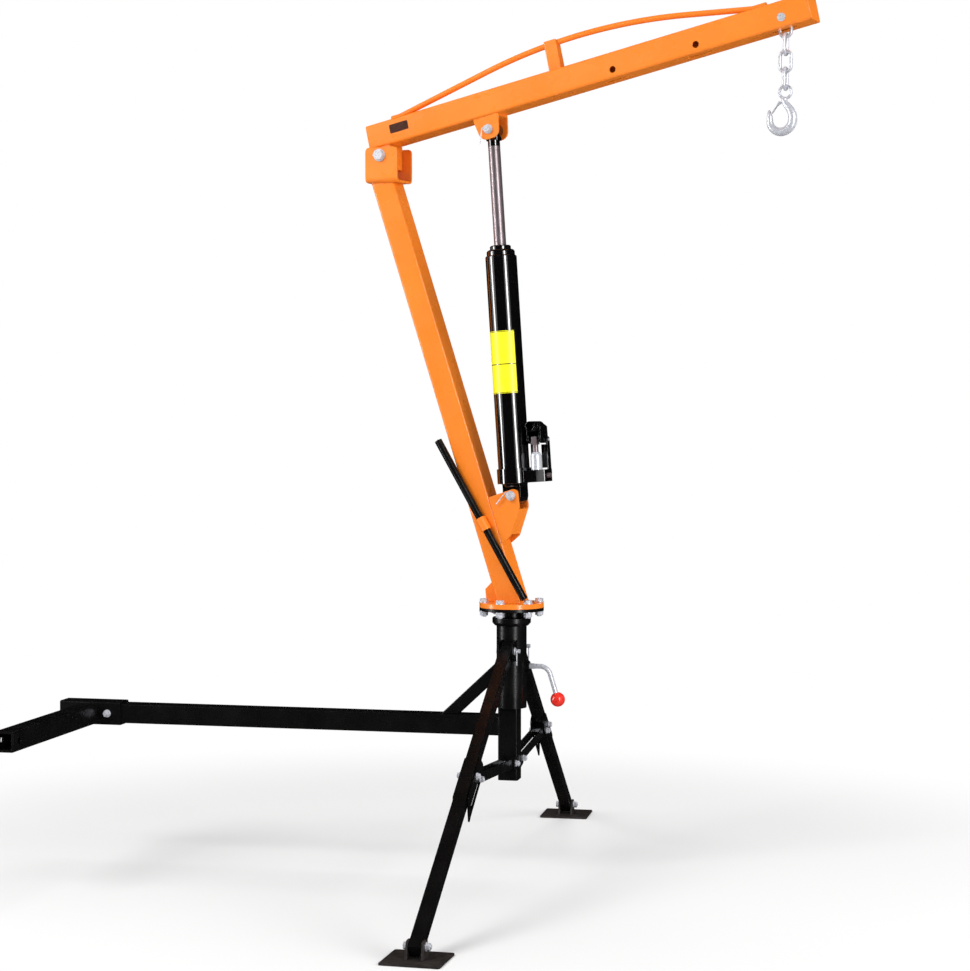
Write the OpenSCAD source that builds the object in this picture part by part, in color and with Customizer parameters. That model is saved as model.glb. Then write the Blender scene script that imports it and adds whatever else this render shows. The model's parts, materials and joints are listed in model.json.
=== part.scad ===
// Hitch mounted hydraulic crane: a receiver hitch arm, a post with a swivel, two folding
// legs, a leaning mast with a long ram jack, and a trussed boom with a chain and a hook.
// The origin is the centre of the hitch pin hole, +X runs along the base arm to the post,
// +Y runs from the hitch towards the arm and +Z is up. The boom points along its own yaw.

/* [Hitch and arm] */
// Height of the hitch and of the base arm above the ground
hitch_height = 381; // [330:1:440]
// Distance from the hitch shank to the swivel axis
arm_reach = 1110; // [800:5:1400]
// Width of the hitch shank, a 2 inch square tube
shank_w = 50; // [40:1:55]
// Wall of the hitch shank
shank_wall = 6; // [4:0.5:8]
// Length of the hitch shank from the corner sleeve to its open end
shank_len = 515; // [300:5:700]
// Diameter of the hitch pin hole
hitch_hole_d = 16.5; // [12:0.5:20]
// Distance from the open end of the shank to the hitch pin hole
hitch_hole_back = 34; // [25:1:60]
// Width of the square base arm
arm_w = 50; // [40:1:60]
// Wall of the base arm
arm_wall = 3; // [2:0.5:5]
// Wall of the corner sleeve round the arm
sleeve_wall = 4.7; // [3:0.1:8]
// Length of the corner sleeve
sleeve_len = 166; // [120:2:220]
// Thread diameter of the sleeve bolts
sleeve_bolt_d = 10; // [8:1:14]

/* [Post and swivel housing] */
// Width of the square post
post_w = 50; // [40:1:55]
// Wall of the post
post_wall = 4; // [3:0.5:6]
// Distance from the arm axis down to the bottom of the post
post_drop = 136; // [110:2:200]
// Distance that the post sits off the swivel axis, towards the arm
post_offset = 5; // [0:1:8]
// Outer diameter of the swivel housing
housing_d = 75; // [70:1:90]
// Wall of the swivel housing
housing_wall = 5; // [4:0.5:8]
// Length of the swivel housing
housing_len = 220; // [180:5:260]
// Distance from the arm axis up to the bottom of the swivel housing
housing_rise = 44; // [40:1:60]
// Outer diameter of the collar at the top of the housing
collar_d = 96; // [88:1:120]
// Height of the collar
collar_h = 21; // [16:1:30]
// Thickness of the plate that closes the housing at the bottom
end_plate_t = 8; // [5:1:12]
// Length of each swivel bush
bush_len = 45; // [25:1:60]
// Width of the diagonal brace
brace_w = 30; // [20:1:35]
// Distance from the swivel axis to the brace foot on the arm
brace_run = 155; // [120:5:220]
// Height of the brace head above the arm axis
brace_rise = 135; // [110:1:150]

/* [Swivel] */
// Diameter of the swivel shaft
shaft_d = 50; // [36:1:54]
// Diameter of the neck between the collar and the flange
neck_d = 62; // [54:1:70]
// Height of the neck
neck_h = 15.7; // [8:0.1:30]
// Diameter of both swivel flanges
flange_d = 160; // [150:2:200]
// Thickness of the lower swivel flange
flange_t = 8; // [6:1:14]
// Thickness of the mast base plate
base_t = 12; // [8:1:16]
// Thread diameter of the flange bolts
flange_bolt_d = 12; // [8:1:14]
// Number of flange bolts
flange_bolts_n = 6; // [4:1:8]
// Distance from the flange bolts to the rim of the flange
flange_bolt_in = 11; // [9:1:14]
// Distance of the lock screw above the bottom of the housing
lock_rise = 104; // [80:1:130]
// Diameter of the lock crank rod
crank_d = 12; // [8:1:14]
// Reach of the lock crank from the swivel axis to its bend
crank_reach = 92; // [80:1:120]
// Length of the lock crank from its bend to the ball
crank_throw = 85; // [60:1:110]
// Angle of the lock crank's bend
crank_angle = 73; // [40:1:80]
// Bend radius of the lock crank
crank_bend = 27; // [16:1:30]
// Diameter of the ball knob
ball_d = 36; // [24:1:45]

/* [Legs] */
// Height of the leg pivots above the ground
leg_pivot_z = 572; // [540:1:600]
// Distance of each leg pivot from the swivel axis
leg_pivot_y = 62; // [60:1:75]
// Distance that the leg planes sit off the swivel axis, away from the arm
leg_offset = 2; // [0:0.5:4]
// Angle that each leg is turned back towards the arm
leg_splay = 1.6; // [0:0.1:3]
// Width of the square leg tube
leg_w = 30; // [25:1:31]
// Wall of the leg tube
leg_wall = 2.5; // [2:0.5:4]
// Distance of each foot pivot from the swivel axis
foot_y = 860; // [700:5:1000]
// Height of the foot pivots above the ground
foot_pivot_z = 30; // [29:1:45]
// Width of the foot plate along the arm
foot_w = 134; // [100:2:180]
// Depth of the foot plate across the arm
foot_d = 126; // [100:2:180]
// Thickness of the foot plate
foot_t = 5; // [4:0.5:7]
// Thickness of the pressed leg brackets
bracket_t = 4; // [3:0.5:6]
// Diameter of the leg pivot pins and of the foot bolts
leg_pin_d = 10; // [8:0.5:12]
// Thread diameter of the link bolts
link_bolt_d = 8; // [6:1:10]
// Width of the link bars
link_w = 24; // [18:1:25]
// Height of the lower link pivot above the ground
link_z = 292; // [275:1:310]
// Distance from the leg pivot to the slot bolt along the leg
slot_start = 424; // [400:1:440]
// Travel of the slot bolt along the leg channel
slot_travel = 92; // [60:1:100]
// Distance of the slot bolt below the leg axis
slot_in = 28; // [27.5:0.5:30]

/* [Mast] */
// Angle of the boom and mast from the line of the arm
boom_yaw = 12.4; // [-180:0.1:180]
// Backward lean of the mast
mast_lean = 18.5; // [10:0.1:25]
// Width of the square mast tube
mast_w = 60; // [50:1:64]
// Wall of the mast tube
mast_wall = 4; // [3:0.5:6]
// Distance of the mast foot in front of the swivel axis
mast_front = 5; // [0:1:15]
// Height of the boom pivot above the ground
pivot_z = 1806; // [1700:1:1900]
// Distance from the boom pivot down to the underside of its bracket
pivot_drop = 68; // [60:1:80]
// Length of the boom bracket
boom_bracket_l = 90; // [80:1:110]
// Height of the boom bracket
boom_bracket_h = 88; // [85:1:95]
// Thickness of the boom and jack brackets
plate_t = 6; // [4:0.5:8]
// Diameter of the boom pivot bolt
pivot_d = 16; // [12:1:20]

/* [Boom] */
// Upward pitch of the boom
boom_pitch = 12; // [5:0.5:16]
// Height of the boom tube
boom_h = 62; // [55:1:70]
// Width of the boom tube
boom_w = 70; // [66:1:80]
// Wall of the boom tube
boom_wall = 3.5; // [2.5:0.5:5]
// Length of the boom from its pivot line to the tip
boom_front = 1150; // [1120:2:1400]
// Length of the boom behind its pivot line
boom_back = 28; // [24:1:60]
// Distance from the boom pivot up to the boom axis
pivot_to_axis = 52; // [48:0.5:60]
// Distance from the boom pivot line to the hook pin
hook_pin_s = 1080; // [1000:1:1090]
// Distance from the boom axis down to the hook pin
hook_pin_n = 8; // [6:0.1:10]
// Spacing of the hook pin holes
hole_pitch = 215; // [150:1:300]
// Diameter of the hook pin
hook_pin_d = 16; // [12:1:17]
// Length of the chain slots
slot_l = 60; // [50:1:80]
// Width of the chain slots
slot_w = 12; // [10:1:16]
// Diameter of the truss bar
truss_d = 14; // [10:1:18]
// Angle of the truss bar at its rear foot
truss_rise = 9.6; // [7:0.1:12]
// Angle of the truss bar at its front foot
truss_fall = 11.7; // [9:0.1:13]
// Length of the straight rear stretch of the truss bar
truss_rear = 255; // [200:5:300]
// Bend radius of the truss bar over its strut
truss_bend = 1450; // [1200:10:1600]
// Distance from the boom pivot line to the strut
strut_s = 497; // [440:1:560]

/* [Jack] */
// Distance from the swivel axis forward to the lower jack pin
jack_x = 11; // [5:1:20]
// Height of the lower jack pin above the ground
jack_z = 953; // [940:1:970]
// Diameter of the jack pins
jack_pin_d = 16; // [12:1:20]
// Distance from the boom pivot line to the upper jack pin
upper_pin_s = 300; // [285:1:320]
// Distance from the boom axis down to the upper jack pin
upper_pin_n = 63.5; // [60:0.5:70]
// Outer diameter of the jack cylinder
cyl_d = 78; // [70:1:82]
// Wall of the jack cylinder
cyl_wall = 4; // [3:0.5:6]
// Height of the cylinder top above the lower pin
cyl_top = 595; // [560:1:620]
// Diameter of the jack base
jack_base_d = 86; // [84:1:92]
// Diameter of the ram
ram_d = 30; // [26:1:34]
// Outer diameter of the pressure tube inside the jack
tube_d = 54; // [50:1:58]
// Bore of the pressure tube
tube_bore = 44; // [40:1:46]
// Width over the brackets that hold both jack eyes
jack_w = 60; // [50:1:60]
// Diameter of the pump plunger
plunger_d = 14; // [10:1:16]
// Diameter of the pump handle
handle_d = 19; // [15:1:20]
// Length of the pump handle
handle_len = 458; // [400:2:520]
// Diameter of the rubber grip
grip_d = 25; // [22:1:26]
// Length of the rubber grip
grip_len = 80; // [60:2:130]

/* [Chain and hook] */
// Wire diameter of the chain links
wire_d = 8; // [6:0.5:9]
// Inner length of the first chain link
first_link_l = 45; // [44:0.5:50]
// Inner length of the other chain links
link_in_l = 40.5; // [34:0.5:44]
// Inner width of a chain link
link_in_w = 19; // [18:0.5:22]
// Inner diameter of the hook eye
hook_eye_in = 22; // [18:0.5:24]
// Inner radius of the hook bowl
bowl_r = 18.4; // [15:0.1:24]
// Thickness of the hook at its back
hook_t = 22; // [16:1:24]

/* [Hidden] */

ORANGE = "#ff7a1a";
BLACK = "#161616";
ZINC = "#c9ccd2";
CHROME = "#dfe3e8";
BRONZE = "#8a6a3a";
RUBBER = "#2b2b2d";

// Gap between pieces that move past each other, or that slide into each other
GAP = 0.3;
// Radial running clearance of a pin or shaft in its hole
RUN = 0.05;
// Gap under a washer or a pin head, which keeps each fastener its own solid
SEAT = 0.05;
// Extra length of a cutting shape past the face that it cuts
E = 1;

// Base, measured from the ground under the swivel axis
sleeve_w = arm_w + 2 * sleeve_wall + 2 * GAP;
hitch_y = sleeve_w / 2 + shank_len - hitch_hole_back;
post_top = hitch_height + housing_rise;
post_bottom = hitch_height - post_drop;
housing_top = post_top + housing_len;
housing_in = housing_d - 2 * housing_wall;
lip_t = 6;
collar_z = housing_top + lip_t - collar_h;
neck_z = housing_top + lip_t + GAP;
flange_z = neck_z + neck_h;
base_z = flange_z + flange_t;
base_top = base_z + base_t;
lock_z = post_top + lock_rise;
washer_t = 2.5;

// Legs: each is built on the -Y side, and the far one is its mirror image
leg_drop = leg_pivot_z - foot_pivot_z;
leg_run = foot_y - leg_pivot_y;
leg_len = norm([leg_run, leg_drop]);
leg_angle = atan2(leg_drop, leg_run);
leg_end = leg_w / 2;
ear_in = leg_w / 2 + GAP;
ear_out = ear_in + bracket_t + 1;
channel_out = leg_w / 2 + bracket_t;
bar_out = leg_w / 2 - GAP;
slot_y = leg_pivot_y + slot_start * cos(leg_angle) - slot_in * sin(leg_angle);
slot_z = leg_pivot_z - slot_start * sin(leg_angle) - slot_in * cos(leg_angle);
link_y = post_w / 2 + 17;
link_len = norm([slot_y - link_y, slot_z - link_z]);
link_rise = atan2(slot_z - link_z, slot_y - link_y);

// Mast and boom, in the turned frame of the mast
pivot_x = mast_front - (pivot_z - pivot_drop - base_top) * tan(mast_lean);
bracket_in = boom_w + 3;
bracket_back = 41;
pin_drop = pivot_to_axis - upper_pin_n;
upper_x = pivot_x + upper_pin_s * cos(boom_pitch) - pin_drop * sin(boom_pitch);
upper_z = pivot_z + upper_pin_s * sin(boom_pitch) + pin_drop * cos(boom_pitch);
jack_len = norm([upper_x - jack_x, upper_z - jack_z]);
jack_tilt = atan2(jack_x - upper_x, upper_z - jack_z);
jack_in = jack_w - 2 * plate_t;
jack_a = (jack_z - base_top) * cos(mast_lean) - (jack_x - mast_front) * sin(mast_lean);
jack_o = (jack_z - base_top) * sin(mast_lean) + (jack_x - mast_front) * cos(mast_lean);

// Jack, measured from its lower pin
ring_z = 30;
ring_top = 67;
cyl_seat = ring_top - 22;
gland_top = cyl_top + 25;
ram_bottom = 240;
head_z = jack_len - 40;
head_r = 16.5;
pump_x = 66;
block_out = 23;
pump_top = 77;
pump_t = -10;
fulcrum_t = 20;
fulcrum_z = 133;
lever_z = 167;
lever_d = 26;
lever_bore = handle_d + 1;
lever_pin_d = 6;
cheek_t = 4;
cheek_in = 14.5;
head_w = 13.4;
valve_d = 12;

// Chain and hook, which hang from the hook pin
hang_x = pivot_x + hook_pin_s * cos(boom_pitch) - (pivot_to_axis - hook_pin_n) * sin(boom_pitch);
hang_z = pivot_z + hook_pin_s * sin(boom_pitch) + (pivot_to_axis - hook_pin_n) * cos(boom_pitch);
link_top = hang_z + hook_pin_d / 2 + GAP;
first_pitch = first_link_l - GAP;
pitch = link_in_l - GAP;
eye_wire = 7;
eye_z = link_top - first_pitch - 3 * pitch - hook_eye_in / 2;
bowl = [-11.4, -63.4];
latch_pin = [-13, -25];
latch_pin_d = 3;

// ---- Frames ----
module on_site() translate([arm_reach, hitch_y, -hitch_height]) children();
module turned() on_site() rotate([0, 0, -boom_yaw]) children();
module on_mast() turned() translate([mast_front, 0, base_top]) rotate([0, -mast_lean, 0]) children();
// Boom frame: origin on the boom axis above the pivot, +X along the boom
module on_boom() turned() translate([pivot_x, 0, pivot_z]) rotate([0, -boom_pitch, 0])
    translate([0, 0, pivot_to_axis]) children();
// Jack frame: origin at the lower pin, +Z along the jack
module on_jack() turned() translate([jack_x, 0, jack_z]) rotate([0, -jack_tilt, 0]) children();
module on_side(far) on_site() mirror([0, far ? 1 : 0, 0]) rotate([0, 0, -leg_splay])
    translate([leg_offset, 0, 0]) children();
// Way back from a side to the ground under the swivel axis
module off_side() translate([-leg_offset, 0, 0]) rotate([0, 0, leg_splay]) children();
// Leg frame: origin at the pivot, +Z up the leg, +Y to its under side
module on_leg(far) on_side(far) translate([0, -leg_pivot_y, leg_pivot_z])
    rotate([leg_angle - 90, 0, 0]) children();
module hanging() turned() translate([hang_x, 0, 0]) children();

// ---- Shapes ----
function unit(v) = v / norm(v);
// Points of the arc that rounds corner b between a and c
function corner(a, b, c, r, n) = r <= 0 ? [b] :
    let (u = unit(a - b), v = unit(c - b), half = acos(u * v) / 2,
        ctr = b + unit(u + v) * r / sin(half), p = b + u * r / tan(half) - ctr,
        q = b + v * r / tan(half) - ctr, a0 = atan2(p.y, p.x),
        turn = (atan2(q.y, q.x) - a0 + 540) % 360 - 180)
    [for (i = [0:n]) ctr + r * [cos(a0 + turn * i / n), sin(a0 + turn * i / n)]];
// Outline through corners given as [x, y, radius]
function outline(pts, n) = let (m = len(pts)) [for (i = [0:m - 1])
    let (a = pts[(i + m - 1) % m], b = pts[i], c = pts[(i + 1) % m])
    each corner([a.x, a.y], [b.x, b.y], [c.x, c.y], b[2], n)];
module plate(pts, n = 6) polygon(outline(pts, n));
module round_box(w, h, r) plate([for (c = [[-1, -1], [1, -1], [1, 1], [-1, 1]])
    [c.x * w / 2, c.y * h / 2, r]], 5);
// Rectangular tube along Z with rounded edges
module box_tube(w, h, wall, l, r) linear_extrude(l) difference() {
    round_box(w, h, r);
    round_box(w - 2 * wall, h - 2 * wall, max(r - wall, 0.8));
}
// Plate with its outline given in X and Z, t thick along Y about y
module plate_y(pts, t, y = 0, n = 6) translate([0, y, 0]) rotate([90, 0, 0])
    linear_extrude(t, center = true) plate(pts, n);
// Plate with its outline given in Y and Z, t thick along X about x
module plate_x(pts, t, x = 0, n = 6) translate([x, 0, 0]) rotate([0, 90, 0]) rotate([0, 0, 90])
    linear_extrude(t, center = true) plate(pts, n);
module pin_x(d, l, x = 0) translate([x, 0, 0]) rotate([0, 90, 0])
    cylinder(d = d, h = l, center = true, $fn = 40);
module pin_y(d, l, y = 0) translate([0, y, 0]) rotate([90, 0, 0])
    cylinder(d = d, h = l, center = true, $fn = 40);
// Points [x, z, direction] along steps of [length, 0, 1] or [bend radius, turn, pieces]
function follow(steps, x, z, a, i = 0) = i == len(steps) ? [[x, z, a]] :
    let (l = steps[i][0], turn = steps[i][1], n = steps[i][2], s = l * sign(turn))
    turn == 0 ? [[x, z, a], each follow(steps, x + l * cos(a), z + l * sin(a), a, i + 1)] :
    let (path = [for (k = [0:n]) let (b = a + turn * k / n)
        [x + s * (sin(b) - sin(a)), z + s * (cos(a) - cos(b)), b]], end = path[n])
    [for (k = [0:n - 1]) path[k], each follow(steps, end.x, end.y, a + turn, i + 1)];
// Ring of points across a path point, r in its plane and w times as wide along Y
function across(p, r, w, n) = [for (j = [0:n - 1]) let (q = 360 * j / n)
    [p.x - sin(p[2]) * r * cos(q), w * r * sin(q), p.y + cos(p[2]) * r * cos(q)]];
// Closed skin through rings of points
module skin(rings) {
    n = len(rings);
    m = len(rings[0]);
    polyhedron([for (r = rings) each r], [[for (j = [m - 1:-1:0]) j],
        each [for (i = [0:n - 2], j = [0:m - 1]) let (k = (j + 1) % m)
            [i * m + k, (i + 1) * m + k, (i + 1) * m + j, i * m + j]],
        [for (j = [0:m - 1]) (n - 1) * m + j]]);
}
module bar(d, line) skin([for (p = line) across(p, d / 2, 1, 20)]);
// Bolt along +Z: washer and head below z = 0, nut and washer past the grip
module bolt(d, grip, tail = 4) {
    far = grip + SEAT + washer_t;
    translate([0, 0, -SEAT - washer_t - 0.6 * d]) cylinder(d = 1.75 * d, h = 0.6 * d, $fn = 6);
    translate([0, 0, -SEAT - washer_t]) cylinder(d = 2 * d, h = washer_t, $fn = 40);
    translate([0, 0, -SEAT - E]) cylinder(d = d, h = far + 0.8 * d + tail + E, $fn = 32);
    translate([0, 0, grip + SEAT]) cylinder(d = 2 * d, h = washer_t, $fn = 40);
    translate([0, 0, far]) cylinder(d = 1.75 * d, h = 0.8 * d, $fn = 6);
}
// Clevis pin along +Z: head below z = 0, washer past the grip, and a spring clip with an arm
module clevis_pin(d, grip, arm, turn = 0) rotate([0, 0, turn]) {
    wire = 3;
    translate([0, 0, -SEAT - 4]) cylinder(d = d + 6, h = 4, $fn = 40);
    translate([0, 0, -SEAT - E]) cylinder(d = d, h = grip + 14 + E, $fn = 40);
    translate([0, 0, grip + SEAT]) cylinder(d = d + 8, h = 2, $fn = 40);
    translate([-d / 2 - 5, 0, grip + 8]) {
        rotate([0, 90, 0]) cylinder(d = wire, h = d + 9, $fn = 20);
        sphere(d = wire, $fn = 20);
        rotate([90, 0, 0]) cylinder(d = wire, h = arm, $fn = 20);
    }
}

// ---- Base ----
module at_corner() on_site() translate([-arm_reach, 0, hitch_height]) children();
module sleeve_bolt_places() for (x = [-48, 48]) translate([x, 0, 0]) children();

module hitch_shank() color(BLACK) at_corner() difference() {
    translate([0, -sleeve_w / 2, 0]) rotate([90, 0, 0]) box_tube(shank_w, shank_w, shank_wall, shank_len, 4);
    translate([0, -hitch_y, 0]) pin_x(hitch_hole_d, shank_w + 2 * E);
}

module corner_sleeve() color(BLACK) at_corner() difference() {
    translate([-sleeve_len / 2, 0, 0]) rotate([0, 90, 0])
        box_tube(sleeve_w, sleeve_w, sleeve_wall, sleeve_len, 5);
    sleeve_bolt_places() pin_y(sleeve_bolt_d + 2 * RUN, sleeve_w + 2 * E);
}

module sleeve_bolts() color(ZINC) at_corner() sleeve_bolt_places()
    translate([0, sleeve_w / 2, 0]) rotate([90, 0, 0]) bolt(sleeve_bolt_d, sleeve_w);

module arm_tube() color(BLACK) at_corner() difference() {
    translate([-sleeve_len / 2, 0, 0]) rotate([0, 90, 0])
        box_tube(arm_w, arm_w, arm_wall, sleeve_len / 2 + arm_reach - post_offset - post_w / 2, 4);
    sleeve_bolt_places() pin_y(sleeve_bolt_d + 2 * RUN, arm_w + 2 * E);
}

module post_tube() color(BLACK) on_site() translate([-post_offset, 0, post_bottom])
    box_tube(post_w, post_w, post_wall, post_top - post_bottom, 5);

module housing_end_plate() color(BLACK) on_site() translate([0, 0, post_top])
    cylinder(d = housing_in, h = end_plate_t, $fn = 64);

module swivel_housing() color(BLACK) on_site() difference() {
    translate([0, 0, post_top]) cylinder(d = housing_d, h = housing_len, $fn = 72);
    translate([0, 0, post_top - E]) cylinder(d = housing_in, h = housing_len + 2 * E, $fn = 72);
    translate([0, 0, lock_z]) pin_x(screw_d + 2 * RUN, housing_wall + 2 * E, (housing_d - housing_wall) / 2);
}

module housing_collar() color(BLACK) on_site() translate([0, 0, collar_z]) rotate_extrude($fn = 72)
    plate([[housing_d / 2, 0, 0], [housing_d / 2 + 4, 0, 0], [collar_d / 2, 7, 2.5],
        [collar_d / 2, collar_h, 4], [shaft_d / 2 + RUN, collar_h, 0],
        [shaft_d / 2 + RUN, collar_h - lip_t, 0], [housing_d / 2, collar_h - lip_t, 0]], 5);

module swivel_bushes() color(BRONZE) on_site()
    for (z = [post_top + end_plate_t, housing_top - bush_len]) translate([0, 0, z]) difference() {
        cylinder(d = housing_in, h = bush_len, $fn = 64);
        translate([0, 0, -E]) cylinder(d = shaft_d + 2 * RUN, h = bush_len + 2 * E, $fn = 64);
    }

module diagonal_brace() color(BLACK) on_site() {
    rise = brace_rise - arm_w / 2;
    run = brace_run - housing_d / 2;
    difference() {
        translate([-brace_run, 0, hitch_height + arm_w / 2]) rotate([0, atan2(run, rise), 0])
            translate([0, 0, -2 * brace_w])
                box_tube(brace_w, brace_w, 3, norm([run, rise]) + 4 * brace_w, 3);
        translate([-2 * brace_run, -brace_w, 0])
            cube([3 * brace_run, 2 * brace_w, hitch_height + arm_w / 2]);
        translate([0, 0, post_top]) cylinder(d = housing_d, h = housing_len, $fn = 72);
        translate([0, -brace_w, 0]) cube([4 * brace_w, 2 * brace_w, 2 * housing_top]);
        translate([-post_offset - post_w / 2, -brace_w, 0]) cube([post_w, 2 * brace_w, post_top]);
    }
}

// Ears welded to both sides of the housing, which carry the leg pivots
module leg_brackets() color(BLACK) for (far = [false, true]) on_side(far) difference() {
    root = -housing_d / 4;
    for (x = [-1, 1]) plate_x([[root, leg_pivot_z - 30, 0], [-leg_pivot_y + 4, leg_pivot_z - 26, 12],
        [-leg_pivot_y - 20, leg_pivot_z - 12, 12], [-leg_pivot_y - 20, leg_pivot_z + 22, 16],
        [-leg_pivot_y + 8, leg_pivot_z + 25, 14], [root, leg_pivot_z + 25, 0]],
        ear_out - ear_in, x * (ear_in + ear_out) / 2);
    off_side() translate([0, 0, post_top]) cylinder(d = housing_d, h = housing_len, $fn = 72);
    translate([0, -leg_pivot_y, leg_pivot_z]) pin_x(leg_pin_d + 2 * RUN, 2 * ear_out + 2 * E);
}

// Lugs welded to the post on both sides of the links
module link_lugs() color(BLACK) for (far = [false, true]) on_side(far) difference() {
    root = -post_w / 4;
    for (x = [-1, 1]) plate_x([[root, link_z - 20, 0], [-link_y - 14, link_z - 14, 12],
        [-link_y - 14, link_z + 14, 12], [root, link_z + 20, 0]],
        bracket_t, x * (channel_out - bracket_t / 2));
    off_side() translate([-post_offset, 0, 0]) linear_extrude(post_top) round_box(post_w, post_w, 5);
    translate([0, -link_y, link_z]) pin_x(link_bolt_d + 2 * RUN, 2 * channel_out + 2 * E);
}

// Leg pivot pins with their clips, and the link bolts in the lugs of the post
module base_pins() color(ZINC) for (far = [false, true]) on_side(far) {
    translate([-ear_out, -leg_pivot_y, leg_pivot_z]) rotate([0, 90, 0]) rotate([0, 0, 90])
        clevis_pin(leg_pin_d, 2 * ear_out, 34);
    translate([-channel_out, -link_y, link_z]) rotate([0, 90, 0]) bolt(link_bolt_d, 2 * channel_out, 2);
}

module lock_nut() color(BLACK) on_site() translate([0, 0, lock_z]) difference() {
    translate([housing_d / 2 - 4, 0, 0]) rotate([0, 90, 0]) cylinder(d = 26, h = 13, $fn = 6);
    translate([0, 0, -crank_throw]) cylinder(d = housing_d, h = 2 * crank_throw, $fn = 72);
    pin_x(screw_d + 2 * RUN, 2 * housing_d);
}

// ---- Lock crank ----
crank_tangent = crank_bend * tan(crank_angle / 2);
screw_d = crank_d + 2;
screw_tip = shaft_d / 2 + GAP;
screw_end = 58;
crank_line = follow([[crank_reach - crank_tangent - screw_end + E, 0, 1], [crank_bend, -crank_angle, 8],
    [crank_throw - crank_tangent - 2, 0, 1]], screw_end - E, 0, 0);
module lock_crank() color(CHROME) on_site() translate([0, 0, lock_z]) {
    pin_x(screw_d, screw_end - screw_tip, (screw_end + screw_tip) / 2);
    bar(crank_d, crank_line);
}

module ball_knob() color("#e83a2c") on_site() translate([crank_reach, 0, lock_z]) rotate([0, crank_angle, 0])
    difference() {
        translate([crank_throw, 0, 0]) sphere(d = ball_d, $fn = 48);
        pin_x(crank_d + 2 * RUN, crank_throw, crank_throw / 2 - 2);
    }

// ---- Legs ----
module leg_tube(far) color(BLACK) on_leg(far) difference() {
    translate([0, 0, -leg_len - leg_end]) {
        box_tube(leg_w, leg_w, leg_wall, leg_len + 2 * leg_end, 3);
        linear_extrude(leg_wall) round_box(leg_w, leg_w, 3);
    }
    for (z = [0, -leg_len]) translate([0, 0, z]) pin_x(leg_pin_d + 2 * RUN, leg_w + 2 * E);
    translate([0, 0, -slot_start - bolt_back]) pin_x(link_bolt_d + 2 * RUN, leg_w + 2 * E);
}
bolt_back = 20;
module near_leg_tube() leg_tube(false);
module far_leg_tube() leg_tube(true);

// Pair of slotted side plates welded to the leg, with their cross bolt
module leg_channel(far) on_leg(far) translate([0, 0, -slot_start]) {
    end = -slot_travel - 14;
    color(BLACK) difference() {
        for (x = [-1, 1]) plate_x([[-9, 32, 8], [slot_in, 46, 14], [slot_in + 11, 22, 14],
            [slot_in + 14, end, 0], [slot_in + 17, end - 20, 2], [8, end - 4, 6], [-9, end + 6, 6]],
            bracket_t, x * (channel_out - bracket_t / 2));
        slot_d = link_bolt_d + 3;
        for (z = [0, -slot_travel]) translate([0, slot_in, z]) pin_x(slot_d, 2 * channel_out + 2 * E);
        translate([-channel_out - E, slot_in - slot_d / 2, -slot_travel])
            cube([2 * channel_out + 2 * E, slot_d, slot_travel]);
        translate([0, 0, -bolt_back]) pin_x(link_bolt_d + 2 * RUN, 2 * channel_out + 2 * E);
    }
    color(ZINC) translate([-channel_out, 0, -bolt_back]) rotate([0, 90, 0])
        bolt(link_bolt_d, 2 * channel_out, 1);
}
module near_leg_channel() leg_channel(false);
module far_leg_channel() leg_channel(true);

// Pair of flat bars from the lugs to the slots, with the bolt that slides in the slots
module link_bars(far) on_side(far) translate([0, -link_y, link_z]) rotate([-link_rise, 0, 0]) {
    r = link_w / 2;
    seat = channel_out + GAP;
    color(BLACK) difference() {
        for (x = [-1, 1]) plate_x([[r, -r, r], [r, r, r], [-link_len - r, r, r], [-link_len - r, -r, r]],
            bracket_t, x * (bar_out - bracket_t / 2), 8);
        for (y = [0, -link_len]) translate([0, y, 0]) pin_x(link_bolt_d + 2 * RUN, 2 * bar_out + 2 * E);
    }
    color(ZINC) translate([-seat, -link_len, 0]) rotate([0, 90, 0]) bolt(link_bolt_d, 2 * seat, 2);
}
module near_link_bars() link_bars(false);
module far_link_bars() link_bars(true);

module foot(far) on_side(far) translate([0, -foot_y, 0]) {
    top = foot_pivot_z + 14;
    color(BLACK) linear_extrude(foot_t) round_box(foot_w, foot_d, 5);
    color(BLACK) difference() {
        for (x = [-1, 1]) plate_x([[-24, foot_t, 0], [24, foot_t, 0], [15, top, 12], [-15, top, 12]],
            ear_out - ear_in, x * (ear_in + ear_out) / 2);
        translate([0, 0, foot_pivot_z]) pin_x(leg_pin_d + 2 * RUN, 2 * ear_out + 2 * E);
    }
    color(ZINC) translate([-ear_out, 0, foot_pivot_z]) rotate([0, 90, 0]) bolt(leg_pin_d, 2 * ear_out, 2);
}
module near_foot() foot(false);
module far_foot() foot(true);

// ---- Turning mast ----
module flange_bolt_places() for (i = [0:flange_bolts_n - 1]) rotate([0, 0, 30 + i * 360 / flange_bolts_n])
    translate([flange_d / 2 - flange_bolt_in, 0, 0]) children();
module flange_holes(z, t) flange_bolt_places() translate([0, 0, z - E])
    cylinder(d = flange_bolt_d + 2 * RUN, h = t + 2 * E, $fn = 40);

module swivel_flange() color(BLACK) turned() difference() {
    bottom = post_top + end_plate_t + GAP;
    union() {
        translate([0, 0, bottom]) cylinder(d = shaft_d, h = flange_z - bottom, $fn = 72);
        translate([0, 0, neck_z]) cylinder(d = neck_d, h = neck_h, $fn = 72);
        translate([0, 0, flange_z]) cylinder(d = flange_d, h = flange_t, $fn = 96);
    }
    flange_holes(flange_z, flange_t);
}

module mast_base_plate() color(ORANGE) turned() difference() {
    translate([0, 0, base_z]) cylinder(d = flange_d, h = base_t, $fn = 96);
    flange_holes(base_z, base_t);
}

module flange_bolts() color(ZINC) turned() flange_bolt_places() translate([0, 0, base_top])
    rotate([180, 0, 0]) bolt(flange_bolt_d, base_t + flange_t, 3);

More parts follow.
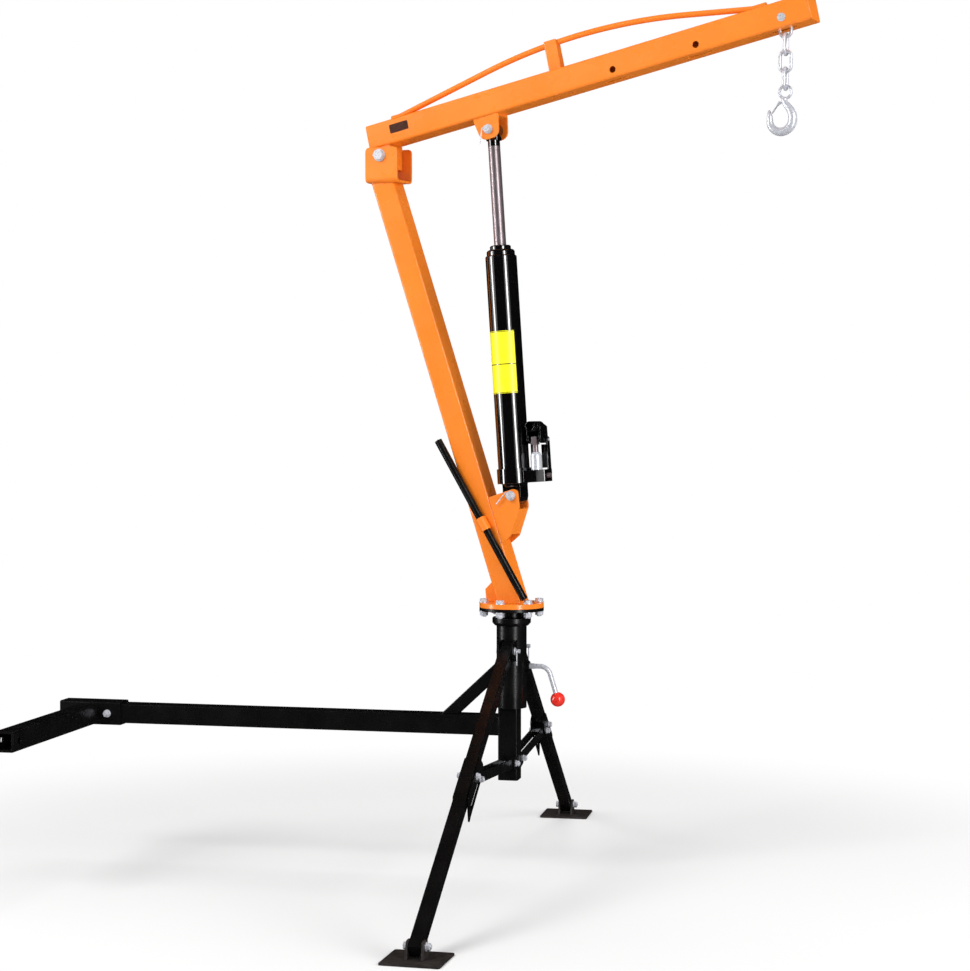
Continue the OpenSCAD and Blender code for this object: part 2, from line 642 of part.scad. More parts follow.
module mast_tube() color(ORANGE) intersection() {
    on_mast() translate([0, 0, -mast_w]) box_tube(mast_w, mast_w, mast_wall, pivot_z, 6);
    turned() translate([-pivot_z, -mast_w, base_top])
        cube([2 * pivot_z, 2 * mast_w, pivot_z - pivot_drop - base_top]);
}

// Rib that stiffens the back of the mast at its foot
module mast_gusset() color(ORANGE) turned() {
    rear = mast_front - mast_w / 2 / cos(mast_lean);
    slope = tan(mast_lean);
    plate_y([[rear - 41, base_top, 0], [rear, base_top, 0], [rear - 56 * slope, base_top + 56, 0],
        [rear - 44, base_top + 31, 3]], 8);
}

module at_pivot() turned() translate([pivot_x, 0, pivot_z]) children();

// Bent U plate on the mast head
module boom_bracket() color(ORANGE) at_pivot() difference() {
    out = bracket_in / 2 + plate_t;
    floor = -pivot_drop;
    top = floor + boom_bracket_h;
    front = boom_bracket_l - bracket_back;
    intersection() {
        translate([-bracket_back, 0, 0]) rotate([90, 0, 90]) linear_extrude(boom_bracket_l)
            plate([[-out, top, 0], [-out, floor, 12], [out, floor, 12], [out, top, 0],
                [out - plate_t, top, 0], [out - plate_t, floor + plate_t, 6],
                [plate_t - out, floor + plate_t, 6], [plate_t - out, top, 0]]);
        plate_y([[-bracket_back, floor, 0], [front, floor, 0], [front, top, 10], [-bracket_back, top, 10]],
            2 * out + E);
    }
    pin_y(pivot_d + 2 * RUN, 2 * out + 2 * E);
}

module boom_pivot_bolt() color(ZINC) at_pivot() translate([0, -bracket_in / 2 - plate_t, 0])
    rotate([-90, 0, 0]) bolt(pivot_d, bracket_in + 2 * plate_t, 3);

// Bent U plate on the front of the mast, which holds the foot of the jack
module jack_bracket() color(ORANGE) on_mast() difference() {
    side_drop = 105.5;
    web_drop = 94.5;
    out = jack_w / 2;
    front = mast_w / 2;
    low = [jack_a - side_drop, front];
    web = [[jack_a - web_drop, jack_o - 33], [jack_a - 33.5, jack_o + 13]];
    side = [[front, low[0], 0], [front, jack_a + 14.5, 0], [jack_o + 10, jack_a + 14.5, 15],
        [jack_o + 21, jack_a + 7.5, 8], [web[1].y, web[1].x, 20], [web[0].y, web[0].x, 10]];
    union() {
        for (y = [-1, 1]) plate_y(side, plate_t, y * (out - plate_t / 2));
        intersection() {
            plate_y(side, 2 * out);
            translate([web[0].y, 0, web[0].x])
                rotate([0, atan2(web[1].y - web[0].y, web[1].x - web[0].x), 0])
                    translate([-plate_t, -out, 4]) cube([2 * plate_t, 2 * out, norm(web[1] - web[0]) - 8]);
        }
    }
    translate([jack_o, 0, jack_a]) pin_y(jack_pin_d + 2 * RUN, 2 * out + 2 * E);
}

module lower_jack_pin() color(ZINC) on_jack() translate([0, jack_w / 2, 0]) rotate([90, 0, 0])
    clevis_pin(jack_pin_d, jack_w, 40, -45);

// ---- Pump handle, stored in its clip on the mast ----
handle_y = -mast_w / 2 - 13;
handle_lean = 31.2;
handle_lift = 11.9;
handle_foot = [53.5, base_top + handle_lift];
clip_rise = 214;
clip_l = 34;
module on_handle() turned() translate([handle_foot.x, handle_y, handle_foot.y])
    rotate([0, -handle_lean, 0]) children();

module handle_clip() color(ORANGE) on_handle() difference() {
    union() {
        translate([0, 0, clip_rise - clip_l / 2]) cylinder(d = 26, h = clip_l, $fn = 48);
        translate([-6, 0, clip_rise - clip_l / 2]) cube([12, 13, clip_l]);
    }
    translate([0, 0, clip_rise - clip_l]) cylinder(d = handle_d + 2 * GAP, h = 2 * clip_l, $fn = 48);
}

module handle_bar() color(BLACK) on_handle() difference() {
    cylinder(d = handle_d, h = handle_len - 3, $fn = 48);
    translate([0, 0, -E]) cylinder(d = handle_d - 5, h = handle_len, $fn = 48);
}

module handle_grip() color(RUBBER) on_handle() translate([0, 0, handle_len - grip_len]) difference() {
    rotate_extrude($fn = 48) plate([[0, 0, 0], [grip_d / 2 - 1, 0, 0], [grip_d / 2, 3, 1],
        [grip_d / 2, grip_len, 4], [0, grip_len, 0]]);
    translate([0, 0, -E]) cylinder(d = handle_d, h = grip_len - 3 + E, $fn = 48);
}

// ---- Boom ----
cap_t = 4;
module boom_tube() color(ORANGE) on_boom() difference() {
    translate([cap_t - boom_back, 0, 0]) rotate([0, 90, 0])
        box_tube(boom_h, boom_w, boom_wall, boom_back + boom_front - 2 * cap_t, 6);
    translate([hook_pin_s, 0, -hook_pin_n]) pin_y(hook_pin_d + 2 * RUN, boom_w + 2 * E);
    for (i = [1, 2]) translate([hook_pin_s - i * hole_pitch, 0, -spare_n])
        pin_y(hook_pin_d + 2 * RUN, boom_w + 2 * E);
    for (i = [0:2]) translate([hook_pin_s - i * hole_pitch - slot_back, 0, -boom_h / 2 - E])
        linear_extrude(boom_wall + 2 * E) round_box(slot_l, slot_w, slot_w / 2 - GAP);
}
spare_n = hook_pin_n + 3.7;
slot_back = 6;

module boom_end_caps() color(ORANGE) on_boom()
    for (x = [-boom_back, boom_front - cap_t]) translate([x, 0, 0]) rotate([0, 90, 0])
        linear_extrude(cap_t) round_box(boom_h, boom_w, 6);

// Box lug under the boom with a bush for the pivot bolt
module boom_lug() color(ORANGE) at_pivot() difference() {
    out = boom_w / 2;
    wall = plate_t;
    back = 39;
    front = 25;
    drop = 33;
    union() {
        difference() {
            translate([-back, -out, -drop]) cube([back + front, 2 * out, drop + pivot_to_axis]);
            translate([-back - E, wall - out, -drop - E])
                cube([back + front - wall + E, 2 * (out - wall), 4 * boom_h]);
            rotate([0, -boom_pitch, 0]) translate([-2 * boom_h, -boom_w, pivot_to_axis - boom_h / 2])
                cube([4 * boom_h, 2 * boom_w, 2 * boom_h]);
        }
        pin_y(pivot_d + 9, bracket_in - 2 * GAP);
    }
    pin_y(pivot_d + 2 * RUN, bracket_in + 2 * E);
}

truss_foot = 33.5;
truss_flat = 20;
truss_toe = 30;
foot_bend = 40;
truss_n = (boom_h + truss_d) / 2;
bends = foot_bend + truss_bend;
truss_peak_x = truss_foot + truss_flat + truss_rear * cos(truss_rise) + bends * sin(truss_rise);
truss_peak_n = truss_n + truss_rear * sin(truss_rise) + bends * (1 - cos(truss_rise));
truss_front = (truss_peak_n - truss_n - bends * (1 - cos(truss_fall))) / sin(truss_fall);
truss_line = follow([[truss_flat, 0, 1], [foot_bend, truss_rise, 3], [truss_rear, 0, 1],
    [truss_bend, -truss_rise - truss_fall, 20], [truss_front, 0, 1], [foot_bend, truss_fall, 3],
    [truss_toe, 0, 1]], truss_foot, truss_n, 0);
module truss_bar() color(ORANGE) on_boom() bar(truss_d, truss_line);

// Square post with a notch that the truss bar lies in
module truss_strut() color(ORANGE) on_boom() difference() {
    notch = truss_d / 2 + GAP;
    translate([strut_s, 0, boom_h / 2])
        box_tube(32, 30, 3, truss_peak_n + truss_d / 2 - E - boom_h / 2, 3);
    translate([truss_peak_x, 0, truss_peak_n - truss_bend]) rotate([90, 0, 0])
        rotate_extrude($fn = 180) translate([truss_bend, 0]) {
            circle(notch, $fn = 40);
            translate([0, -notch]) square(2 * notch);
        }
}

// Bent U plate under the boom, which holds the head of the ram
module upper_clevis() color(ORANGE) on_boom() translate([upper_pin_s, 0, 0]) difference() {
    out = jack_w / 2;
    under = -boom_h / 2;
    r = 24;
    back = 34.5;
    front = 32.5;
    union() {
        for (y = [-1, 1]) plate_y([[-back, under, 0], [front, under, 0], [front, under - 8, 0],
            [r, -upper_pin_n - r, r - 4], [-r, -upper_pin_n - r, r - 4], [-back, under - 8, 0]],
            plate_t, y * (out - plate_t / 2));
        translate([-back, -out, under - plate_t]) cube([back + front, 2 * out, plate_t]);
    }
    translate([0, 0, -upper_pin_n]) pin_y(jack_pin_d + 2 * RUN, 2 * out + 2 * E);
}

// The two ends of the upper pin: its middle is left out, so that the ram head is free
module upper_jack_pin() color(ZINC) on_boom() translate([upper_pin_s, 0, -upper_pin_n]) {
    difference() {
        translate([0, jack_w / 2, 0]) rotate([90, 0, 0]) clevis_pin(jack_pin_d, jack_w, 40, -20);
        cube([2 * jack_pin_d, jack_in, 2 * jack_pin_d], center = true);
    }
}

module hook_pin() color(ZINC) on_boom() translate([hook_pin_s, boom_w / 2, -hook_pin_n]) rotate([90, 0, 0]) {
    cylinder(d = hook_pin_d, h = boom_w + 1, $fn = 48);
    translate([0, 0, boom_w]) cylinder(d = hook_pin_d + 4, h = 1.5, $fn = 48);
    translate([0, 0, -3]) cylinder(d = hook_pin_d + 4, h = 3, $fn = 48);
}

// ---- Jack ----
jack_eye_w = jack_in - 2 * GAP;
module at_valve() translate([pump_x + block_out, 0, ring_z + 15]) children();
module jack_base() color(BLACK) on_jack() difference() {
    union() {
        pin_y(48, jack_eye_w);
        translate([-24, -jack_eye_w / 2, 0]) cube([48, jack_eye_w, ring_z]);
        translate([0, 0, ring_z - 8]) cylinder(d1 = 58, d2 = 66, h = 8, $fn = 64);
        translate([0, 0, ring_z]) cylinder(d = jack_base_d, h = ring_top - ring_z, $fn = 72);
        translate([0, 0, ring_z]) linear_extrude(30) plate([[20, -24, 0], [pump_x, -24, 10],
            [pump_x + block_out, -10, 8], [pump_x + block_out, 30, 2], [20, 30, 0]]);
        for (x = [-1, 1]) plate_x([[fulcrum_t - 9, ring_z + 20, 0], [fulcrum_t + 9, ring_z + 20, 0],
            [fulcrum_t + 8, fulcrum_z + 8, 7], [fulcrum_t - 8, fulcrum_z + 8, 7]],
            cheek_t, pump_x + x * (cheek_in + cheek_t + GAP + cheek_t / 2));
    }
    pin_y(jack_pin_d + 2 * RUN, jack_in);
    translate([0, 0, cyl_seat]) cylinder(d = cyl_d, h = ring_top, $fn = 72);
    translate([pump_x, pump_t, ring_z + 10]) cylinder(d = plunger_d + 2 * RUN, h = 40, $fn = 40);
    translate([pump_x, fulcrum_t, fulcrum_z]) pin_x(lever_pin_d + 2 * RUN, 60);
    at_valve() pin_x(valve_d - 4 + 2 * RUN, 24);
}

module ring(d, bore, z0, z1) translate([0, 0, z0]) difference() {
    cylinder(d = d, h = z1 - z0, $fn = 72);
    translate([0, 0, -E]) cylinder(d = bore, h = z1 - z0 + 2 * E, $fn = 72);
}

module jack_cylinder() color(BLACK) on_jack() ring(cyl_d, cyl_d - 2 * cyl_wall, cyl_seat, cyl_top);

module pressure_tube() color(CHROME) on_jack() ring(tube_d, tube_bore, cyl_seat, cyl_top - 15);

module gland_nut() color(BLACK) on_jack() {
    plug = cyl_d - 2 * cyl_wall;
    rotate_extrude($fn = 72) plate([[ram_d / 2 + RUN, cyl_top - 15, 0], [plug / 2, cyl_top - 15, 0],
        [plug / 2, cyl_top, 0], [cyl_d / 2 - 4, cyl_top, 0], [cyl_d / 2 - 4, cyl_top + 15, 4],
        [ram_d / 2 + 11, cyl_top + 15, 2], [ram_d / 2 + 11, gland_top, 4], [ram_d / 2 + RUN, gland_top, 0]]);
}

module ram_rod() color(CHROME) on_jack() {
    translate([0, 0, ram_bottom]) cylinder(d = ram_d, h = head_z - ram_bottom, $fn = 48);
    translate([0, 0, ram_bottom - 12]) cylinder(d = tube_bore - 2 * RUN, h = 24, $fn = 64);
}

module ram_head() color(BLACK) on_jack() difference() {
    union() {
        translate([0, 0, head_z]) cylinder(d = ram_d + 4, h = 20, $fn = 48);
        translate([0, 0, jack_len]) pin_y(2 * head_r, jack_eye_w);
        translate([-head_r, -ram_d / 2, head_z + 14]) cube([2 * head_r, ram_d, jack_len - head_z - 14]);
    }
    translate([0, 0, jack_len]) pin_y(jack_pin_d + 2 * RUN, jack_in);
}

// Pump cylinder on its block, and the pin that the lever turns on
module pump_body() on_jack() {
    color(BLACK) translate([pump_x, pump_t, 0])
        ring(plunger_d + 10, plunger_d + 2 * RUN, ring_z + 30, pump_top);
    color(ZINC) translate([pump_x, fulcrum_t, fulcrum_z])
        pin_x(lever_pin_d, 2 * (cheek_in + 2 * cheek_t + GAP) + 4);
}

module pump_plunger() color(CHROME) on_jack() translate([pump_x, pump_t, 0]) difference() {
    slack = 1;
    union() {
        translate([0, 0, ring_z + 28]) cylinder(d = plunger_d, h = fulcrum_z - ring_z - 34, $fn = 40);
        translate([-head_w / 2, -9, fulcrum_z - 11]) cube([head_w, 20, 20]);
    }
    translate([-plunger_d, -(lever_pin_d + slack) / 2, fulcrum_z - (lever_pin_d + slack) / 2])
        cube([2 * plunger_d, lever_pin_d + slack + 2.8, lever_pin_d + slack]);
}

// Handle socket with the two cheeks that turn on the fulcrum and drive the plunger
module pump_lever() on_jack() translate([pump_x, 0, 0]) {
    color(BLACK) difference() {
        union() {
            translate([0, 23, lever_z]) rotate([90, 0, 0]) cylinder(d = lever_d, h = 61, $fn = 48);
            plate_y([[-cheek_in, lever_z - 9, 4], [cheek_in + cheek_t, lever_z - 11, 4],
                [cheek_in + cheek_t, lever_z, 10], [0, lever_z + lever_d / 2, 8],
                [-cheek_in - cheek_t, lever_z, 6], [-cheek_in - cheek_t, lever_z - 8, 2]],
                fulcrum_t - pump_t + 14, (fulcrum_t + pump_t) / 2);
            for (x = [-1, 1])
                plate_x([[pump_t - 9, fulcrum_z - 8, 7], [fulcrum_t + 9, fulcrum_z - 8, 7],
                    [fulcrum_t + 7, lever_z, 0], [pump_t - 7, lever_z, 0]],
                    cheek_t, x * (cheek_in + cheek_t / 2));
        }
        translate([0, 20, lever_z]) rotate([90, 0, 0]) cylinder(d = lever_bore, h = 61, $fn = 48);
        translate([0, fulcrum_t, fulcrum_z]) pin_x(lever_pin_d + 2 * RUN, 60);
    }
    color(ZINC) translate([0, pump_t, fulcrum_z]) pin_x(lever_pin_d, 2 * cheek_in);
}

module release_valve() color(CHROME) on_jack() at_valve() rotate([0, 90, 0]) {
    translate([0, 0, -11]) cylinder(d = valve_d - 4, h = 11 + E, $fn = 32);
    translate([0, 0, GAP]) cylinder(d = valve_d, h = 9, $fn = 32);
    translate([0, 0, 5]) pin_y(3, valve_d + 10);
}

// ---- Chain and hook ----
// Chain link of inner length l in X and Z, with its centre at the origin
module link(l) {
    half = (l - link_in_w) / 2;
    r = (link_in_w + wire_d) / 2;
    for (s = [0, 180]) rotate([0, s, 0]) {
        translate([0, 0, half]) rotate([90, 0, 0]) rotate_extrude(angle = 180, $fn = 64)
            translate([r, 0]) circle(d = wire_d, $fn = 24);
        translate([r, 0, -half]) cylinder(d = wire_d, h = 2 * half, $fn = 24);
    }
}
// Link i below the first one
module chain_link(i) color(ZINC) hanging()
    translate([0, 0, link_top - first_pitch - link_in_l / 2 - (i - 2) * pitch])
        rotate([0, 0, i % 2 == 0 ? 90 : 0]) link(link_in_l);
module chain_link_1() color(ZINC) hanging() translate([0, 0, link_top - first_link_l / 2])
    link(first_link_l);
module chain_link_2() chain_link(2);
module chain_link_3() chain_link(3);
module chain_link_4() chain_link(4);

// Centre line and half thickness of the hook, from its neck round the bowl to its tip
function bezier(p, t) = let (u = 1 - t)
    pow(u, 3) * p[0] + 3 * t * u * u * p[1] + 3 * t * t * u * p[2] + pow(t, 3) * p[3];
function bowl_point(a, h) = bowl + (bowl_r + h) * [cos(a), sin(a)];
function hook_half(t) = hook_t / 2 * (1 - 0.32 * pow(t, 2));
hook_neck = [for (i = [0:7]) let (t = i / 8, h = hook_t / 2 * (0.55 + 0.45 * t))
    [each bezier([[-3, -15], [-4, -30], [19, -38], bowl_point(0, hook_t / 2)], t), h]];
hook_bowl = [for (i = [0:14]) let (t = i / 14, h = hook_half(t)) [each bowl_point(-180 * t, h), h]];
hook_tip = [for (i = [1:4]) let (t = i / 4, h = hook_half(1) * (1 - 0.75 * t * t))
    [each (bowl_point(-180, hook_half(1)) + [-2 * t, 24 * t]), h]];
hook_line = [each hook_neck, each hook_bowl, each hook_tip];

function hook_ring(i) = let (p = hook_line[i], a = hook_line[max(i - 1, 0)],
        b = hook_line[min(i + 1, len(hook_line) - 1)])
    across([p.x, p.y, atan2(b.y - a.y, b.x - a.x)], p[2], 0.86, 16);

module hook_body() color(ZINC) hanging() translate([0, 0, eye_z]) difference() {
    union() {
        rotate([90, 0, 0]) rotate_extrude($fn = 72) translate([(hook_eye_in + eye_wire) / 2, 0])
            circle(d = eye_wire, $fn = 24);
        skin([for (i = [0:len(hook_line) - 1]) hook_ring(i)]);
        plate_y([[0, -20, 0], [0, -31, 0], [latch_pin.x - 4, latch_pin.y - 4, 3.5],
            [latch_pin.x - 4, latch_pin.y + 4, 3.5]], 5);
    }
    translate([latch_pin.x, 0, latch_pin.y]) pin_y(latch_pin_d + 2 * RUN, 3 * eye_wire);
}

// Sprung sheet that closes the mouth of the hook
module hook_latch() color(ZINC) hanging() translate([latch_pin.x, 0, eye_z + latch_pin.y]) {
    mouth = [-18, -25];
    reach = norm(mouth) - 1;
    pin_y(latch_pin_d, 8.8);
    rotate([0, atan2(mouth.x, mouth.y), 0]) {
        for (y = [-1, 1]) plate_y([[-4, -4, 3], [4, -4, 3], [2.4, 10, 0], [1.6, 10, 0]], 1.6, y * 3.5);
        translate([1.2, -4.4, 6]) cube([1.6, 8.8, reach - 6]);
    }
}

hitch_shank();
corner_sleeve();
sleeve_bolts();
arm_tube();
post_tube();
swivel_housing();
housing_collar();
swivel_bushes();
housing_end_plate();
diagonal_brace();
leg_brackets();
base_pins();
lock_nut();
link_lugs();
near_leg_tube();
far_leg_tube();
near_leg_channel();
far_leg_channel();
near_link_bars();
far_link_bars();
near_foot();
far_foot();
lock_crank();
ball_knob();
swivel_flange();
flange_bolts();
mast_base_plate();
mast_tube();
mast_gusset();
boom_bracket();
jack_bracket();
handle_clip();
boom_pivot_bolt();
lower_jack_pin();
handle_bar();
handle_grip();
boom_tube();
boom_end_caps();
boom_lug();
truss_bar();
truss_strut();
upper_clevis();
upper_jack_pin();
hook_pin();
jack_base();
jack_cylinder();
gland_nut();
pressure_tube();
pump_body();
ram_rod();
ram_head();
pump_plunger();
pump_lever();
release_valve();
chain_link_1();
chain_link_2();
chain_link_3();
chain_link_4();
hook_body();
hook_latch();
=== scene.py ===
"""Looks of a hitch mounted hydraulic crane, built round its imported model."""

import json
import math

import bmesh
import bpy
from mathutils import Matrix, Vector

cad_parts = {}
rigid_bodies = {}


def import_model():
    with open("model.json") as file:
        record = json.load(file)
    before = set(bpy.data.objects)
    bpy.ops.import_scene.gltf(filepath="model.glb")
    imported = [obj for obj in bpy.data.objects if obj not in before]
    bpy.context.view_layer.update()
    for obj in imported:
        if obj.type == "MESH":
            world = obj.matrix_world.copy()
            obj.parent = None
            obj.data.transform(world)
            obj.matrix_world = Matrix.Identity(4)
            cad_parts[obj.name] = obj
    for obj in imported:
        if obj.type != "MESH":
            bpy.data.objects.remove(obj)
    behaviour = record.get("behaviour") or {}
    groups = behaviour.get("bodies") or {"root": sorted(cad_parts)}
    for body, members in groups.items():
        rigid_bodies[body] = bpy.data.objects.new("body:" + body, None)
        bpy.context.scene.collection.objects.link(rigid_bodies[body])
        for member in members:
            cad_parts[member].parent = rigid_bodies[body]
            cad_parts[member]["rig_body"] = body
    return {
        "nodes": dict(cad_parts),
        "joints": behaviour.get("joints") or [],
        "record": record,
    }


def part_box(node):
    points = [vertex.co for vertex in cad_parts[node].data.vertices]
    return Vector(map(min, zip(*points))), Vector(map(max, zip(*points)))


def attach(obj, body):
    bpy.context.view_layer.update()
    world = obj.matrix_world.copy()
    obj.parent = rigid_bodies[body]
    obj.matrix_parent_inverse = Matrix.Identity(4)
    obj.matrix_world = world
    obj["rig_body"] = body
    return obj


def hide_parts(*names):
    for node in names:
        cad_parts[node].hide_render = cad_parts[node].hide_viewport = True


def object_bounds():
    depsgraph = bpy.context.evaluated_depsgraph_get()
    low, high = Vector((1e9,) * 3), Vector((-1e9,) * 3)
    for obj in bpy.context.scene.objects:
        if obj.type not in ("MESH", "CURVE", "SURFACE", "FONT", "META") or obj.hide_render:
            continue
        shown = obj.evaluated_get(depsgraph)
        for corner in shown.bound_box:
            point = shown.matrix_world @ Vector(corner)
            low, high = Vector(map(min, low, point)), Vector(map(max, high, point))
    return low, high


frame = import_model()
cad_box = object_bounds()
nodes = frame["nodes"]
joints = {joint["name"]: joint for joint in frame["joints"]}
MM = 0.001

# Sizes of the crane in millimetres and degrees, the same as its model's
BOOM_PITCH = 12
PIVOT_TO_AXIS = 52
BOOM_H = 62
BOOM_W = 70


# ---- Helpers for node trees ----
def linear(colour):
    """Linear RGBA of an sRGB hex colour."""
    channels = [int(colour[i : i + 2], 16) / 255 for i in (1, 3, 5)]
    return [c / 12.92 if c <= 0.04045 else ((c + 0.055) / 1.055) ** 2.4 for c in channels] + [1]


def add(tree, kind, inputs=None, **settings):
    """A new node with its settings; an input takes a value, a socket or a node's first output."""
    node = tree.nodes.new(kind)
    for name, value in settings.items():
        setattr(node, name, value)
    for name, value in (inputs or {}).items():
        if isinstance(value, bpy.types.Node):
            value = value.outputs[0]
        if isinstance(value, bpy.types.NodeSocket):
            tree.links.new(value, node.inputs[name])
        else:
            node.inputs[name].default_value = value
    return node


def new_material(name):
    """An empty material with its tree and the Object coordinates socket."""
    material = bpy.data.materials.new(name)
    material.use_nodes = True
    tree = material.node_tree
    tree.nodes.clear()
    place = add(tree, "ShaderNodeTexCoord").outputs["Object"]
    return material, tree, place


def uneven(tree, place, patch, low, high, detail=3):
    """A value that wanders between low and high over patches that many millimetres wide."""
    cloud = add(
        tree,
        "ShaderNodeTexNoise",
        {"Vector": place, "Scale": 1 / (patch * MM), "Detail": detail, "Roughness": 0.55},
    )
    return add(
        tree,
        "ShaderNodeMapRange",
        {"Value": cloud, "From Min": 0.3, "From Max": 0.7, "To Min": low, "To Max": high},
    )


def mottled(tree, place, patch, first, second, detail=3):
    """A colour that wanders between two over patches that many millimetres wide."""
    factor = uneven(tree, place, patch, 0, 1, detail)
    colours = {0: factor, 6: linear(first), 7: linear(second)}
    return add(tree, "ShaderNodeMix", colours, data_type="RGBA").outputs[2]


def rippled(tree, place, grain, relief, detail=1):
    """The normal of a skin with ripples grain millimetres wide and relief millimetres high."""
    height = uneven(tree, place, grain, 0, 1, detail)
    return add(tree, "ShaderNodeBump", {"Height": height, "Distance": relief * MM, "Strength": 1})


def close_material(tree, inputs):
    """Ends a material with its shader."""
    shader = add(tree, "ShaderNodeBsdfPrincipled", inputs)
    add(tree, "ShaderNodeOutputMaterial", {"Surface": shader})


# ---- Materials ----
def orange_powder_coat():
    """Powder coat on steel tube: a glossy skin that pools a little thicker in patches.
    Its ripple is about 2 mm wide, and is drawn at 5 mm so that it shows."""
    material, tree, place = new_material("orange_powder_coat")
    close_material(
        tree,
        {
            "Base Color": mottled(tree, place, 160, "#f4801e", "#f98828"),
            "Roughness": uneven(tree, place, 60, 0.24, 0.32),
            "Coat Weight": 0.35,
            "Coat Roughness": 0.08,
            "Normal": rippled(tree, place, 5, 0.03),
        },
    )
    return material


def black_powder_coat():
    """Black powder coat on steel: a semi gloss skin with fine ripple and a trace of dust.
    Its ripple is drawn at 5 mm so that it shows."""
    material, tree, place = new_material("black_powder_coat")
    close_material(
        tree,
        {
            "Base Color": mottled(tree, place, 70, "#080808", "#100f0f", detail=6),
            "Roughness": uneven(tree, place, 50, 0.2, 0.32),
            "Specular IOR Level": 0.4,
            "Normal": rippled(tree, place, 5, 0.03),
        },
    )
    return material


def black_coat_painted_sheen():
    """The same black coat on the foot plates, lifted to a warm dark grey: a painted sheen for the light
    that their upward faces catch.
    Its mottle is drawn at 12 mm."""
    material, tree, place = new_material("black_coat_painted_sheen")
    close_material(
        tree,
        {
            # Warm dark grey painted in as sheen, for the light on the foot plates' tops
            "Base Color": mottled(tree, place, 12, "#221f1d", "#393230", detail=6),
            "Roughness": uneven(tree, place, 20, 0.35, 0.55),
            "Normal": rippled(tree, place, 5, 0.05),
        },
    )
    return material


def jack_enamel():
    """Black enamel sprayed on a turned steel tube: deep gloss with hardly any ripple."""
    material, tree, place = new_material("jack_enamel")
    close_material(
        tree,
        {
            "Base Color": mottled(tree, place, 90, "#050506", "#0a090a"),
            "Roughness": uneven(tree, place, 40, 0.08, 0.14),
            "Specular IOR Level": 0.8,
            "Coat Weight": 1.0,
            "Coat Roughness": 0.04,
            "Coat IOR": 1.6,
            "Normal": rippled(tree, place, 8, 0.012),
        },
    )
    return material


def bright_zinc():
    """Zinc plated steel: a cool metal with a soft mottle and a satin sheen."""
    material, tree, place = new_material("bright_zinc")
    close_material(
        tree,
        {
            "Base Color": mottled(tree, place, 6, "#cdcfd8", "#e4e5ec", detail=5),
            "Metallic": 0.4,
            "Roughness": uneven(tree, place, 3, 0.22, 0.4),
            "Normal": rippled(tree, place, 1.5, 0.02, detail=3),
        },
    )
    return material


def hard_chrome():
    """Ground and hard chromed rod: a soft, faintly pink mirror with a slow waviness."""
    material, tree, place = new_material("hard_chrome")
    close_material(
        tree,
        {
            "Base Color": mottled(tree, place, 40, "#94888b", "#a3979b"),
            "Metallic": 0.8,
            "Roughness": uneven(tree, place, 25, 0.34, 0.4),
            "Normal": rippled(tree, place, 30, 0.006),
        },
    )
    return material


def bushing_bronze():
    """Turned bearing bronze: a brown gold metal with a dull machined face."""
    material, tree, place = new_material("bushing_bronze")
    close_material(
        tree,
        {
            "Base Color": mottled(tree, place, 12, "#8a6430", "#a67c40"),
            "Metallic": 1.0,
            "Roughness": uneven(tree, place, 6, 0.3, 0.45),
            "Normal": rippled(tree, place, 2, 0.02),
        },
    )
    return material


def grip_rubber():
    """Moulded rubber: nearly black and matt, with a fine grain."""
    material, tree, place = new_material("grip_rubber")
    close_material(
        tree,
        {
            "Base Color": mottled(tree, place, 20, "#2c2c2e", "#39393c"),
            "Roughness": uneven(tree, place, 8, 0.62, 0.78),
            "Normal": rippled(tree, place, 1.2, 0.08, detail=4),
        },
    )
    return material


def red_phenolic():
    """Pressed phenolic ball: a hard, polished red with faint streaks."""
    material, tree, place = new_material("red_phenolic")
    close_material(
        tree,
        {
            "Base Color": mottled(tree, place, 14, "#e2281c", "#ee3c30"),
            "Roughness": uneven(tree, place, 10, 0.16, 0.26),
            "Coat Weight": 0.4,
            "Coat Roughness": 0.05,
            "Normal": rippled(tree, place, 4, 0.01),
        },
    )
    return material


def brushed_plate():
    """Anodised aluminium name plate: dark brown with a fine brushed grain."""
    material, tree, place = new_material("brushed_plate")
    close_material(
        tree,
        {
            "Base Color": mottled(tree, place, 9, "#3a2018", "#552f22", detail=5),
            "Metallic": 0.5,
            "Roughness": uneven(tree, place, 3, 0.3, 0.42),
            "Normal": rippled(tree, place, 1, 0.01),
        },
    )
    return material


def yellow_film():
    """Vinyl film round the jack: a plain lemon yellow with a slight sheen."""
    material, tree, place = new_material("yellow_film")
    close_material(
        tree,
        {
            "Base Color": mottled(tree, place, 30, "#f4ee10", "#f8f320"),
            "Roughness": uneven(tree, place, 15, 0.3, 0.4),
            "Normal": rippled(tree, place, 10, 0.02),
        },
    )
    return material


ORANGE = orange_powder_coat()
BLACK = black_powder_coat()
BLACK_PAINTED_SHEEN = black_coat_painted_sheen()
JACK = jack_enamel()
ZINC = bright_zinc()
CHROME = hard_chrome()
BRONZE = bushing_bronze()
RUBBER = grip_rubber()
RED = red_phenolic()
YELLOW = yellow_film()
PLATE = brushed_plate()

FINISH = {
    "orange_paint": ORANGE,
    "black_paint": BLACK,
    "zinc": ZINC,
    "chrome": CHROME,
    "bronze": BRONZE,
    "rubber": RUBBER,
    "red_plastic": RED,
}
ENAMELLED = ("jack_cylinder", "jack_base", "gland_nut", "pump_body", "pump_lever")
SLOTS = {part["node"]: part["material_slot"] for part in frame["record"]["subparts"]}


def finish_of(node):
    """Finish that a node shows."""
    # The foot plates show the black coat with its painted sheen
    if node in ("near_foot", "far_foot"):
        return BLACK_PAINTED_SHEEN
    return JACK if node in ENAMELLED else FINISH[SLOTS[node]]


for node in SLOTS:
    nodes[node].data.materials.clear()
    nodes[node].data.materials.append(finish_of(node))

# ---- Frames of the parts ----
UP = Vector((0, 0, 1))
ACROSS = -Vector(joints["boom_lift"]["axis"])
FORWARD = ACROSS.cross(UP)


